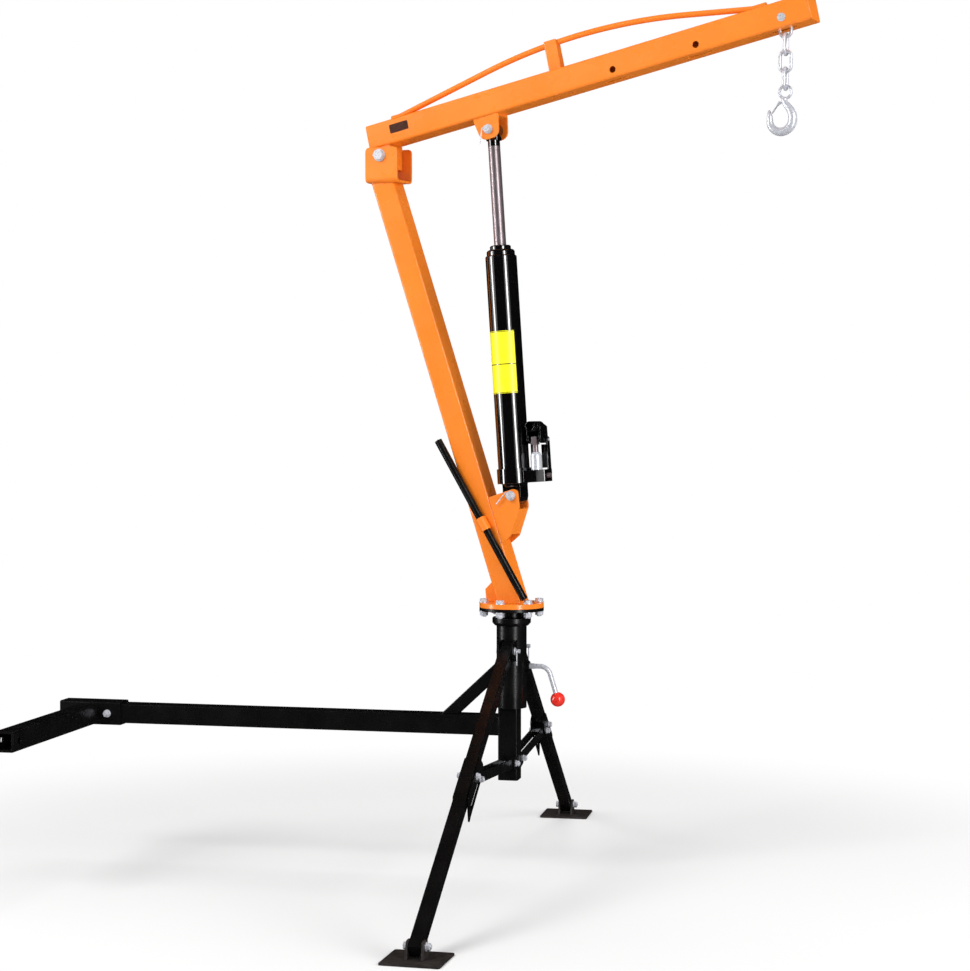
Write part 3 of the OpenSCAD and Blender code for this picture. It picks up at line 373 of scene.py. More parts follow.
def frame_at(origin, along, up):
    """Matrix from a part's own axes in millimetres to the model's metres."""
    x = Vector(along).normalized()
    z = Vector(up).normalized()
    axes = Matrix((x, z.cross(x), z)).transposed().to_4x4()
    return Matrix.Translation(Vector(origin)) @ axes @ Matrix.Scale(MM, 4)


def place_of(name):
    """Where a hinge turns, in metres."""
    return Vector(joints[name]["pos_m"])


def shift(x, y, z):
    """Matrix that moves by millimetres along a part's own axes."""
    return Matrix.Translation((x, y, z))


def turn(degrees, axis):
    """Matrix that turns round one of a part's own axes."""
    return Matrix.Rotation(math.radians(degrees), 4, axis)


pitch = math.radians(BOOM_PITCH)
BOOM_X = FORWARD * math.cos(pitch) + UP * math.sin(pitch)
BOOM_Z = UP * math.cos(pitch) - FORWARD * math.sin(pitch)
BOOM = frame_at(place_of("boom_lift") + BOOM_Z * PIVOT_TO_AXIS * MM, BOOM_X, BOOM_Z)
JACK_Z = Vector(joints["ram_slide"]["axis"])
JACK_FOOT = frame_at(place_of("jack_tilt"), ACROSS.cross(JACK_Z), JACK_Z)
HOOK_PIN = frame_at(place_of("chain_link_1_swing"), FORWARD, UP)


# ---- Mesh helpers ----
# Degrees at an edge past which it stays sharp: on round stock, on plate and fasteners, on a forging
ROUND_STOCK = 35
FLAT_STOCK = 50
FORGING = 180


def piece(name, mesh, body, finish, hides=(), sharp=ROUND_STOCK):
    """A finished piece from a mesh in metres: shaded, given its finish and ridden on its body."""
    mesh.materials.clear()
    mesh.materials.append(finish)
    mesh.shade_smooth()
    mesh.set_sharp_from_angle(angle=math.radians(sharp))
    mesh = after_modifiers(mesh, [("WEIGHTED_NORMAL", {"keep_sharp": True, "weight": 50})])
    mesh.name = name
    thing = bpy.data.objects.new(name, mesh)
    bpy.context.scene.collection.objects.link(thing)
    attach(thing, body)
    if hides:
        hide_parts(*hides)


def after_modifiers(mesh, modifiers):
    """The mesh once a list of (kind, settings) modifiers has been applied to it."""
    thing = bpy.data.objects.new("work", mesh)
    bpy.context.scene.collection.objects.link(thing)
    for kind, settings in modifiers:
        modifier = thing.modifiers.new(kind, kind)
        for name, value in settings.items():
            setattr(modifier, name, value)
    shown = thing.evaluated_get(bpy.context.evaluated_depsgraph_get())
    made = bpy.data.meshes.new_from_object(shown)
    bpy.data.objects.remove(thing)
    return made


def loft(rings):
    """Closed mesh through rings that have the same number of points."""
    count = len(rings[0])
    faces = [tuple(range(count - 1, -1, -1))]
    for i in range(len(rings) - 1):
        for j in range(count):
            k = (j + 1) % count
            low = i * count
            high = low + count
            faces.append((low + j, low + k, high + k, high + j))
    last = (len(rings) - 1) * count
    faces.append(tuple(range(last, last + count)))
    mesh = bpy.data.meshes.new("loft")
    mesh.from_pydata([point for ring in rings for point in ring], [], faces)
    return mesh


def turned(profile, sides=48):
    """Ring turned round Z from a closed profile of (radius, height) points."""
    count = len(profile)
    points = []
    faces = []
    for i in range(sides):
        angle = math.tau * i / sides
        points += [(r * math.cos(angle), r * math.sin(angle), z) for r, z in profile]
        after = (i + 1) % sides
        for j in range(count):
            k = (j + 1) % count
            faces.append((i * count + j, after * count + j, after * count + k, i * count + k))
    mesh = bpy.data.meshes.new("turned")
    mesh.from_pydata(points, [], faces)
    return mesh


def arc(x, z, radius, first, last, steps=8):
    """Points of an arc round (x, z), from one angle in degrees to another."""
    turned_by = [math.radians(first + (last - first) * i / steps) for i in range(steps + 1)]
    return [(x + radius * math.cos(a), z + radius * math.sin(a)) for a in turned_by]


def rounded_box(half_x, half_y, corner, z):
    """Ring of points round a rectangle with rounded corners, at height z."""
    ring = []
    for quarter, (x, y) in enumerate(((1, 1), (-1, 1), (-1, -1), (1, -1))):
        middle = (x * (half_x - corner), y * (half_y - corner))
        ring += [(px, py, z) for px, py in arc(*middle, corner, 90 * quarter, 90 * quarter + 90, 6)]
    return ring


def bent(steps, x=0.0, z=0.0, heading=0.0):
    """Points (x, z, heading) along straight steps (length, 0) and bends (radius, degrees)."""
    path = [(x, z, heading)]
    for size, degrees in steps:
        if degrees == 0:
            x += size * math.cos(heading)
            z += size * math.sin(heading)
            path.append((x, z, heading))
            continue
        side = math.copysign(size, degrees)
        pieces = max(3, int(abs(degrees) / 4), int(size * math.radians(abs(degrees)) / 12))
        for _ in range(pieces):
            before = heading
            heading += math.radians(degrees) / pieces
            x += side * (math.sin(heading) - math.sin(before))
            z += side * (math.cos(before) - math.cos(heading))
            path.append((x, z, heading))
    return path


def ring_across(x, z, heading, radius, sides=24, wide=1.0):
    """Ring of points round a path point, wide times as wide across the path's plane."""
    ring = []
    for j in range(sides):
        angle = math.tau * j / sides
        out = radius * math.cos(angle)
        side = -wide * radius * math.sin(angle)
        ring.append((x - math.sin(heading) * out, side, z + math.cos(heading) * out))
    return ring


def bent_rod(path, diameter, ease=0.6):
    """Round rod along a path, with its two ends eased over that many millimetres."""
    radius = diameter / 2
    rings = [ring_across(x, z, heading, radius) for x, z, heading in path]
    for end, back in ((0, 1), (len(path) - 1, -1)):
        x, z, heading = path[end]
        inward = ease * back
        inner = (x + inward * math.cos(heading), z + inward * math.sin(heading), heading)
        rings[end] = ring_across(*inner, radius)
        tip = ring_across(x, z, heading, radius - ease)
        rings.insert(0 if end == 0 else len(rings), tip)
    return loft(rings)


def joined(meshes):
    """One mesh from several."""
    points = []
    faces = []
    for mesh in meshes:
        start = len(points)
        points += [tuple(v.co) for v in mesh.vertices]
        faces += [tuple(start + i for i in p.vertices) for p in mesh.polygons]
    both = bpy.data.meshes.new("joined")
    both.from_pydata(points, [], faces)
    return both


def placed(mesh, *matrices):
    """The mesh after the matrices, the last one first."""
    for matrix in reversed(matrices):
        mesh.transform(matrix)
    return mesh


def eased(mesh, width):
    """The mesh with its flat faces whole and its edges rounded to that many millimetres."""
    return after_modifiers(
        mesh,
        [
            ("WELD", {"merge_threshold": 0.01 * MM}),
            ("DECIMATE", {"decimate_type": "DISSOLVE", "angle_limit": math.radians(0.5)}),
            (
                "BEVEL",
                {
                    "width": width * MM,
                    "segments": 3,
                    "limit_method": "ANGLE",
                    "angle_limit": math.radians(32),
                    "use_clamp_overlap": False,
                },
            ),
        ],
    )


def shells(mesh):
    """The mesh's separate shells as meshes, the widest one first, each with its points in order."""
    work = bmesh.new()
    work.from_mesh(mesh)
    bmesh.ops.remove_doubles(work, verts=work.verts, dist=0.01 * MM)
    found = []
    seen = set()
    for start in work.verts:
        if start in seen:
            continue
        seen.add(start)
        reached = [start]
        for corner in reached:
            for edge in corner.link_edges:
                other = edge.other_vert(corner)
                if other not in seen:
                    seen.add(other)
                    reached.append(other)
        inside = set(reached)
        corners = [corner for corner in work.verts if corner in inside]
        place = {corner: i for i, corner in enumerate(corners)}
        faces = [[place[c] for c in face.verts] for face in work.faces if face.verts[0] in place]
        shell = bpy.data.meshes.new("shell")
        shell.from_pydata([c.co for c in corners], [], faces)
        found.append(shell)
    work.free()
    return sorted(found, key=width_of, reverse=True)


def width_of(mesh):
    """Length of the diagonal of the mesh's box."""
    places = [vertex.co for vertex in mesh.vertices]
    low = Vector([min(p[i] for p in places) for i in range(3)])
    high = Vector([max(p[i] for p in places) for i in range(3)])
    return (high - low).length


# ---- Steel plate, tube and fasteners with eased edges ----
TUBE_EDGE = 0.8
PLATE_EDGE = 0.6
FASTENER_EDGE = 0.5
EDGES = {
    TUBE_EDGE: (
        "hitch_shank corner_sleeve arm_tube post_tube near_leg_tube far_leg_tube mast_base_plate mast_tube "
        "boom_bracket jack_bracket boom_tube boom_end_caps boom_lug truss_strut upper_clevis swivel_flange"
    ),
    PLATE_EDGE: (
        "swivel_housing housing_collar housing_end_plate diagonal_brace leg_brackets link_lugs mast_gusset "
        "handle_clip handle_bar jack_base pump_lever pump_plunger"
    ),
    FASTENER_EDGE: (
        "sleeve_bolts base_pins lock_nut flange_bolts boom_pivot_bolt lower_jack_pin upper_jack_pin "
        "hook_pin release_valve hook_latch"
    ),
}
for width, names in EDGES.items():
    for node in names.split():
        body = nodes[node]["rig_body"]
        mesh = eased(nodes[node].data.copy(), width)
        piece(f"{node}_eased", mesh, body, finish_of(node), [node], FLAT_STOCK)

# Nodes whose cross bolts are zinc while their plates are painted, with how many shells are plates
BOLTED = {
    "near_leg_channel": 2,
    "far_leg_channel": 2,
    "near_link_bars": 2,
    "far_link_bars": 2,
    "near_foot": 1,
    "far_foot": 1,
}
for node, plates in BOLTED.items():
    found = shells(nodes[node].data)
    body = nodes[node]["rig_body"]
    steel = eased(joined(found[:plates]), PLATE_EDGE)
    bolts = eased(joined(found[plates:]), FASTENER_EDGE)
    piece(f"{node}_steel", steel, body, finish_of(node), [node], FLAT_STOCK)
    piece(f"{node}_bolt", bolts, body, ZINC, [node], FLAT_STOCK)


# ---- Boom ----
TRUSS_D = 14
TRUSS_START = 33.5
TRUSS_RISE = 9.6
TRUSS_FALL = 11.7
TRUSS_BEND = 1450
TRUSS_REAR = 255
FOOT_BEND = 40
REAR_FOOT = 20
FRONT_FOOT = 30


def truss_bar():
    """Round bar bent in a long bow over the boom."""
    rise = math.radians(TRUSS_RISE)
    fall = math.radians(TRUSS_FALL)
    bends = FOOT_BEND + TRUSS_BEND
    peak = TRUSS_REAR * math.sin(rise) + bends * (1 - math.cos(rise))
    front = (peak - bends * (1 - math.cos(fall))) / math.sin(fall)
    path = bent(
        [
            (REAR_FOOT, 0),
            (FOOT_BEND, TRUSS_RISE),
            (TRUSS_REAR, 0),
            (TRUSS_BEND, -TRUSS_RISE - TRUSS_FALL),
            (front, 0),
            (FOOT_BEND, TRUSS_FALL),
            (FRONT_FOOT, 0),
        ],
        TRUSS_START,
        (BOOM_H + TRUSS_D) / 2,
    )
    rod = placed(bent_rod(path, TRUSS_D), BOOM)
    piece("truss_rod", rod, "boom", ORANGE, ["truss_bar"])


truss_bar()


# ---- Lock crank ----
CRANK_REACH = 92
CRANK_THROW = 85
CRANK_ANGLE = 73
CRANK_BEND = 27
CRANK_D = 12
IN_KNOB = 2
SCREW_D = 14
SCREW_TIP = 25.3
SCREW_END = 58


def lock_crank():
    """Threaded screw with a rod bent down to the ball."""
    tangent = CRANK_BEND * math.tan(math.radians(CRANK_ANGLE / 2))
    steps = [
        (CRANK_REACH - tangent - SCREW_END, 0),
        (CRANK_BEND, -CRANK_ANGLE),
        (CRANK_THROW - tangent - IN_KNOB, 0),
    ]
    rod = bent_rod(bent(steps, SCREW_END), CRANK_D, ease=0.4)
    screw = bent_rod(bent([(SCREW_END - SCREW_TIP, 0)], SCREW_TIP), SCREW_D, ease=1)
    crank = frame_at(place_of("lock_crank_turn"), (1, 0, 0), UP)
    both = placed(joined([rod, screw]), crank)
    piece("crank_rod", both, "crank", ZINC, ["lock_crank"])


lock_crank()


# ---- Chain and hook ----
WIRE_D = 8
LINK_IN_L = 40.5
FIRST_LINK_L = 45
LINK_IN_W = 19
LINK_TOP = 8.3
LINK_PITCH = 40.2
FIRST_PITCH = 44.7
HOOK_EYE_IN = 22
EYE_WIRE = 7
EYE_Z = LINK_TOP - FIRST_PITCH - 3 * LINK_PITCH - HOOK_EYE_IN / 2
BOWL = Vector((-11.4, -63.4))
BOWL_R = 18.4
NECK_CURVE = ((-3, -15), (-4, -30), (19, -38))
HOOK_T = 22
NECK_SHARE = 0.55
TIP_SHARE = 0.68
TIP_RISE = 24
HOOK_FLAT = 0.86


def link_tree():
    """Geometry nodes for one chain link: a wire bent round an oval, standing in X and Z."""
    tree = bpy.data.node_groups.new("chain_link", "GeometryNodeTree")
    for name in ("Inner length", "Inner width", "Wire"):
        tree.interface.new_socket(name, in_out="INPUT", socket_type="NodeSocketFloat")
    tree.interface.new_socket("Link", in_out="OUTPUT", socket_type="NodeSocketGeometry")
    sizes = add(tree, "NodeGroupInput").outputs
    long = add(tree, "ShaderNodeMath", {0: sizes["Inner length"], 1: sizes["Wire"]}, operation="ADD")
    wide = add(tree, "ShaderNodeMath", {0: sizes["Inner width"], 1: sizes["Wire"]}, operation="ADD")
    half_wide = add(tree, "ShaderNodeMath", {0: wide, 1: 0.4999}, operation="MULTIPLY")
    half_wire = add(tree, "ShaderNodeMath", {0: sizes["Wire"], 1: 0.5}, operation="MULTIPLY")
    box = add(tree, "GeometryNodeCurvePrimitiveQuadrilateral", {"Width": wide, "Height": long})
    corners = {"Curve": box, "Radius": half_wide, "Count": 20}
    oval = add(tree, "GeometryNodeFilletCurve", corners, mode="POLY")
    round_wire = add(tree, "GeometryNodeCurvePrimitiveCircle", {"Resolution": 20, "Radius": half_wire})
    wire = add(tree, "GeometryNodeCurveToMesh", {"Curve": oval, "Profile Curve": round_wire})
    stood = add(tree, "GeometryNodeTransform", {"Geometry": wire, "Rotation": (math.pi / 2, 0, 0)})
    loose = add(tree, "GeometryNodeRealizeInstances", {"Geometry": stood})
    painted = add(tree, "GeometryNodeSetMaterial", {"Geometry": loose, "Material": ZINC})
    end = add(tree, "NodeGroupOutput")
    tree.links.new(painted.outputs[0], end.inputs[0])
    return tree


def grown(tree, values):
    """The mesh that a node tree makes with its named inputs set."""
    thing = bpy.data.objects.new("work", bpy.data.meshes.new("work"))
    bpy.context.scene.collection.objects.link(thing)
    modifier = thing.modifiers.new("grow", "NODES")
    modifier.node_group = tree
    for item in tree.interface.items_tree:
        if item.in_out == "INPUT" and item.name in values:
            modifier[item.identifier] = float(values[item.name])
    shown = thing.evaluated_get(bpy.context.evaluated_depsgraph_get())
    made = bpy.data.meshes.new_from_object(shown)
    bpy.data.objects.remove(thing)
    return made


LINK_TREE = link_tree()


def chain():
    """Four welded links, each square to the next, hung from the hook pin."""
    for i in range(4):
        length = FIRST_LINK_L if i == 0 else LINK_IN_L
        wire = grown(LINK_TREE, {"Inner length": length, "Inner width": LINK_IN_W, "Wire": WIRE_D})
        centre = LINK_TOP - length / 2 - (i > 0) * FIRST_PITCH - max(i - 1, 0) * LINK_PITCH
        placed(wire, HOOK_PIN, shift(0, 0, centre), turn(90 * (i % 2), "Z"))
        piece(f"round_link_{i + 1}", wire, f"link_{i + 1}", ZINC, [f"chain_link_{i + 1}"])


chain()


def hook():
    """Forged hook: an eye, a swelling neck, a round bowl and a pointed tip, blended as one forging."""

    def on_bowl(degrees, out):
        """Point that many millimetres outside the bowl's inner edge."""
        angle = math.radians(degrees)
        return BOWL + (BOWL_R + out) * Vector((math.cos(angle), math.sin(angle)))

    start = on_bowl(0, HOOK_T / 2)
    curve = [Vector(point) for point in NECK_CURVE] + [start]
    line = []
    neck_steps = 14
    for i in range(neck_steps):
        t = i / neck_steps
        weights = ((1 - t) ** 3, 3 * t * (1 - t) ** 2, 3 * t * t * (1 - t), t**3)
        point = sum((w * p for w, p in zip(weights, curve)), Vector((0, 0)))
        line.append((point, HOOK_T / 2 * (NECK_SHARE + (1 - NECK_SHARE) * t)))
    bowl_steps = 30
    for i in range(bowl_steps + 1):
        t = i / bowl_steps
        half = HOOK_T / 2 * (1 - (1 - TIP_SHARE) * t**2)
        line.append((on_bowl(-180 * t, half), half))
    thin = HOOK_T / 2 * TIP_SHARE
    tip_steps = 6
    for i in range(1, tip_steps + 1):
        t = i / tip_steps
        line.append((on_bowl(-180, thin) + Vector((-2 * t, TIP_RISE * t)), thin * (1 - 0.75 * t * t)))
    rings = []
    for i, (point, half) in enumerate(line):
        before = line[max(i - 1, 0)][0]
        after = line[min(i + 1, len(line) - 1)][0]
        heading = math.atan2(after.y - before.y, after.x - before.x)
        rings.append(ring_across(point.x, point.y, heading, half, 32, HOOK_FLAT))
    body = loft(rings)
    eye = grown(
        LINK_TREE,
        {"Inner length": HOOK_EYE_IN + 0.001, "Inner width": HOOK_EYE_IN, "Wire": EYE_WIRE},
    )
    soften = {"factor": 0.5, "iterations": 6, "smooth_type": "SIMPLE", "use_only_smooth": True}
    forged = after_modifiers(
        joined([body, eye]),
        [("REMESH", {"mode": "VOXEL", "voxel_size": 0.8}), ("CORRECTIVE_SMOOTH", soften)],
    )
    placed(forged, HOOK_PIN, shift(0, 0, EYE_Z))
    piece("forged_hook", forged, "hook", ZINC, ["hook_body"], FORGING)


hook()


# ---- Film on the jack, name plate and grip ----
CYLINDER_R = 39
FILM = 0.2
FILM_FROM = -34
FILM_TO = -214
FILM_BANDS = ((253, 254.5), (255.8, 324), (326, 404.5), (405.8, 407.3))


def jack_film():
    """Plain yellow film wrapped round the near side of the cylinder, in two panels with thin borders."""
    bands = []
    steps = 60
    for low, high in FILM_BANDS:
        rings = []
        for i in range(steps + 1):
            angle = math.radians(FILM_TO + (FILM_FROM - FILM_TO) * i / steps)
            out = Vector((math.cos(angle), math.sin(angle), 0))
            inner = out * (CYLINDER_R - FILM)
            outer = out * (CYLINDER_R + FILM)
            edge = ((inner, low), (outer, low), (outer, high), (inner, high))
            rings.append([(p.x, p.y, z) for p, z in edge])
        bands.append(loft(rings))
    film = placed(joined(bands), JACK_FOOT)
    piece("jack_film", film, "jack", YELLOW)


jack_film()


PLATE_HALF = (26, 11)
PLATE_CORNER = 2.5
PLATE_AT = (64, 0, 5)


def name_plate():
    """Bare plate with rounded corners on the near side of the boom, next to its rear end."""
    near = -BOOM_W / 2
    rings = []
    for y, share in ((near + 0.3, 1), (near - 0.5, 1), (near - 0.8, 0.985)):
        outline = rounded_box(*PLATE_HALF, PLATE_CORNER, y)
        rings.append([(px * share, y, pz * share) for px, pz, _ in outline])
    plate = placed(loft(rings), BOOM, shift(*PLATE_AT))
    piece("name_plate", plate, "boom", PLATE)


name_plate()


def grip_tree():
    """Geometry nodes for a ribbed grip: a tube whose radius swings in and out along its length."""
    tree = bpy.data.node_groups.new("ribbed_grip", "GeometryNodeTree")
    for name in ("Length", "Radius", "Rib height", "Rib pitch"):
        tree.interface.new_socket(name, in_out="INPUT", socket_type="NodeSocketFloat")
    tree.interface.new_socket("Grip", in_out="OUTPUT", socket_type="NodeSocketGeometry")
    sizes = add(tree, "NodeGroupInput").outputs
    top = add(tree, "ShaderNodeCombineXYZ", {"Z": sizes["Length"]})
    line = add(tree, "GeometryNodeCurvePrimitiveLine", {"End": top})
    steps = add(tree, "GeometryNodeResampleCurve", {"Curve": line, "Count": 161})
    way = add(tree, "GeometryNodeSplineParameter").outputs["Length"]
    full_turn = add(tree, "ShaderNodeMath", {0: math.tau, 1: sizes["Rib pitch"]}, operation="DIVIDE")
    angle = add(tree, "ShaderNodeMath", {0: way, 1: full_turn}, operation="MULTIPLY")
    swing = add(tree, "ShaderNodeMath", {0: angle}, operation="COSINE")
    depth = {"Value": swing, "From Min": -1, "From Max": 0.4, "To Min": sizes["Rib height"], "To Max": 0}
    cut = add(tree, "ShaderNodeMapRange", depth)
    ribbed = add(tree, "ShaderNodeMath", {0: sizes["Radius"], 1: cut}, operation="SUBTRACT")
    shoulder = add(tree, "ShaderNodeMath", {0: sizes["Length"], 1: 4}, operation="SUBTRACT")
    near_end = {"Value": way, "From Min": shoulder, "From Max": sizes["Length"], "To Max": 1}
    rounding = add(tree, "ShaderNodeMapRange", near_end)
    square = add(tree, "ShaderNodeMath", {0: rounding, 1: 2}, operation="POWER")
    taper = add(tree, "ShaderNodeMath", {0: square, 1: 3}, operation="MULTIPLY")
    radius = add(tree, "ShaderNodeMath", {0: ribbed, 1: taper}, operation="SUBTRACT")
    shaped = add(tree, "GeometryNodeSetCurveRadius", {"Curve": steps, "Radius": radius})
    outline = add(tree, "GeometryNodeCurvePrimitiveCircle", {"Resolution": 40, "Radius": 1})
    tube = {"Curve": shaped, "Profile Curve": outline, "Fill Caps": True}
    skin = add(tree, "GeometryNodeCurveToMesh", tube)
    loose = add(tree, "GeometryNodeRealizeInstances", {"Geometry": skin})
    painted = add(tree, "GeometryNodeSetMaterial", {"Geometry": loose, "Material": RUBBER})
    end = add(tree, "NodeGroupOutput")
    tree.links.new(painted.outputs[0], end.inputs[0])
    return tree


HANDLE_X = 53.5
HANDLE_Y = -43
HANDLE_RISE = 11.9
HANDLE_LEAN = 31.2
HANDLE_LEN = 458
GRIP_LEN = 80
GRIP_D = 25
RIB_H = 0.9
RIB_PITCH = 5
AXIS = place_of("mast_swivel")


def handle_grip():
    """Ribbed rubber grip on the upper end of the stored handle."""
    sizes = {"Length": GRIP_LEN, "Radius": GRIP_D / 2, "Rib height": RIB_H, "Rib pitch": RIB_PITCH}
    grip = grown(grip_tree(), sizes)
    base_top = Vector((AXIS.x, AXIS.y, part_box("mast_base_plate")[1].z))
    upright = frame_at(base_top, FORWARD, UP) @ shift(HANDLE_X, HANDLE_Y, HANDLE_RISE)
    placed(grip, upright, turn(-HANDLE_LEAN, "Y"), shift(0, 0, HANDLE_LEN - GRIP_LEN))
    piece("ribbed_grip", grip, "pump_handle", RUBBER, ["handle_grip"])


handle_grip()


# ---- Jack and pump ----
CYLINDER_IN = 35
CYLINDER_LOW = 45
CYLINDER_TOP = 595
CYLINDER_ROLL = 4
LOWER_STEP_R = 28.5
LOWER_STEP_SIDE = 3
LOWER_STEP_ROLL = 6.5
UPPER_STEP_R = 22.5
UPPER_STEP_ROLL = 3.5
GLAND_IN = 15
GLAND_RIM = 5
GLAND_H = 25
FIT = 0.05


def jack_tubes():
    """Jack cylinder with a rolled top edge, and the gland nut with its two rounded shoulders."""
    cylinder = [(CYLINDER_IN, CYLINDER_LOW), (CYLINDER_R, CYLINDER_LOW)]
    cylinder += arc(CYLINDER_R - CYLINDER_ROLL, CYLINDER_TOP - CYLINDER_ROLL, CYLINDER_ROLL, 0, 80)
    cylinder.append((CYLINDER_IN, CYLINDER_TOP))
    body = placed(turned(cylinder, 128), JACK_FOOT)
    piece("enamelled_cylinder", body, "jack", JACK, ["jack_cylinder"])
    bore = RAM_R + FIT
    skirt = CYLINDER_IN - FIT
    step = CYLINDER_TOP + GLAND_RIM + LOWER_STEP_SIDE + LOWER_STEP_ROLL
    nut = [(bore, CYLINDER_TOP - GLAND_IN), (skirt, CYLINDER_TOP - GLAND_IN)]
    nut.append((skirt, CYLINDER_TOP + GLAND_RIM))
    nut += arc(LOWER_STEP_R, step - LOWER_STEP_ROLL, LOWER_STEP_ROLL, 0, 90)
    nut.append((UPPER_STEP_R + UPPER_STEP_ROLL, step))
    nut += arc(UPPER_STEP_R, CYLINDER_TOP + GLAND_H - UPPER_STEP_ROLL, UPPER_STEP_ROLL, 0, 90)
    nut.append((bore, CYLINDER_TOP + GLAND_H))
    shoulder = placed(turned(nut, 128), JACK_FOOT)
    piece("rounded_gland", shoulder, "jack", JACK, ["gland_nut"])


RAM_R = 15
RAM_LOW = 228
PISTON_TOP = 252
PISTON_R = 26.45
JACK_LEN = 906.24
HEAD_DROP = 40
GROOVES = (12, 7)
GROOVE_DEEP = 0.6
COLLAR_H = 20
EYE_R = 16.5
EYE_HALF = 23.7
EYE_BORE = 8.1
EYE_EASE = 0.8


def ram():
    """Chromed ram with two grooves under its forged eye."""
    top = JACK_LEN - HEAD_DROP
    rod = [(0.5, RAM_LOW), (PISTON_R, RAM_LOW), (PISTON_R, PISTON_TOP), (RAM_R, PISTON_TOP)]
    for drop in GROOVES:
        low = top - drop
        floor = RAM_R - GROOVE_DEEP
        rod += [(RAM_R, low), (floor, low + 0.5), (floor, low + 1.3), (RAM_R, low + 1.8)]
    rod += [(RAM_R, top - 0.5), (RAM_R - 0.5, top), (0.5, top)]
    piece("chromed_ram", placed(turned(rod, 72), JACK_FOOT), "ram", CHROME, ["ram_rod"])
    collar = [(0.5, top + 0.2), (RAM_R, top + 0.2), (RAM_R, top + COLLAR_H), (0.5, top + COLLAR_H)]
    eye = [(EYE_BORE, -EYE_HALF), (EYE_R - EYE_EASE, -EYE_HALF), (EYE_R, EYE_EASE - EYE_HALF)]
    eye += [(EYE_R, EYE_HALF - EYE_EASE), (EYE_R - EYE_EASE, EYE_HALF), (EYE_BORE, EYE_HALF)]
    ring = placed(turned(eye), shift(0, 0, top + HEAD_DROP), turn(90, "X"))
    heights = (top + 14, top + HEAD_DROP - EYE_BORE - 2)
    web = loft([rounded_box(EYE_R, RAM_R - 1, 5, z) for z in heights])
    forging = placed(joined([turned(collar), ring, web]), JACK_FOOT)
    piece("forged_ram_eye", forging, "ram", JACK, ["ram_head"])


jack_tubes()
ram()

PUMP_X = 66
PUMP_T = -10
BARREL = ((5.3, 60.3), (14, 60.3), (14, 95), (10, 102), (8, 104), (5.3, 104))
WEB_THICK = 3
LEVER_WEB = (14.6, 141, 158)
FULCRUM_RIB = (11.5, 64, 122)


def upright_plate(half_wide, low, high, x, y):
    """Plate that stands across the pump between two heights, with eased corners."""
    rings = [rounded_box(half_wide, WEB_THICK / 2, 1, z) for z in (low, high)]
    return placed(loft(rings), JACK_FOOT, shift(x, y, 0))


def pump():
    """Zinc plated barrel of the hand pump, the pin that its lever turns on, and two webs."""
    pin = eased(shells(nodes["pump_body"].data)[0], FASTENER_EDGE)
    barrel = placed(turned(BARREL), JACK_FOOT, shift(PUMP_X, PUMP_T, 0))
    piece("pump_barrel", barrel, "jack", ZINC, ["pump_body"], FLAT_STOCK)
    piece("lever_pin", pin, "jack", ZINC, ["pump_body"], FLAT_STOCK)
    web = upright_plate(*LEVER_WEB, PUMP_X, 26)
    piece("lever_web", web, "lever", JACK, sharp=FLAT_STOCK)
    rib = upright_plate(*FULCRUM_RIB, PUMP_X + 11, 27)
    piece("fulcrum_rib", rib, "jack", JACK, sharp=FLAT_STOCK)


pump()


# ---- Studio ----
GROUND = cad_box[0].z
MIDDLE = (cad_box[0] + cad_box[1]) / 2
ROOM_LIGHT = 0.55
FLOOR_HALF = 30
PALE_TO = 1.1
WHITE_FROM = 2.2
# Pairs of azimuths between which a dark wall stands, and the walls' distance and height in metres
FLAG_ARCS = ((-46, 28), (58, 272))
FLAG_DISTANCE = 8
FLAG_HEIGHT = 5


def studio_floor():
    """A pale floor that keeps the soft shadow at the feet and fades to white further out."""
    signs = ((-1, -1), (1, -1), (1, 1), (-1, 1))
    corners = [(x * FLOOR_HALF, y * FLOOR_HALF, GROUND) for x, y in signs]
    mesh = bpy.data.meshes.new("studio_floor")
    mesh.from_pydata(corners, [], [(0, 1, 2, 3)])
    floor = bpy.data.objects.new("studio_floor", mesh)
    bpy.context.scene.collection.objects.link(floor)
    material, tree, place = new_material("studio_paper")
    paper = add(tree, "ShaderNodeBsdfDiffuse", {"Color": linear("#e2e2e2")})
    white = add(tree, "ShaderNodeEmission", {"Color": linear("#ffffff"), "Strength": 1.0})
    centre = (MIDDLE.x, MIDDLE.y, GROUND)
    apart = add(tree, "ShaderNodeVectorMath", {0: place, 1: centre}, operation="DISTANCE")
    reach = {"Value": apart.outputs["Value"], "From Min": PALE_TO, "From Max": WHITE_FROM}
    fade = add(tree, "ShaderNodeMapRange", reach, interpolation_type="SMOOTHSTEP")
    seen = add(tree, "ShaderNodeMixShader", {0: fade, 1: paper, 2: white})
    straight = add(tree, "ShaderNodeLightPath").outputs["Is Camera Ray"]
    bounced = add(tree, "ShaderNodeBsdfDiffuse", {"Color": linear("#e2e2e2")})
    mirrored = add(tree, "ShaderNodeBsdfDiffuse", {"Color": linear("#1c1c1c")})
    glossy = add(tree, "ShaderNodeLightPath").outputs["Is Glossy Ray"]
    unseen = add(tree, "ShaderNodeMixShader", {0: glossy, 1: bounced, 2: mirrored})
    surface = add(tree, "ShaderNodeMixShader", {0: straight, 1: unseen, 2: seen})
    add(tree, "ShaderNodeOutputMaterial", {"Surface": surface})
    mesh.materials.append(material)


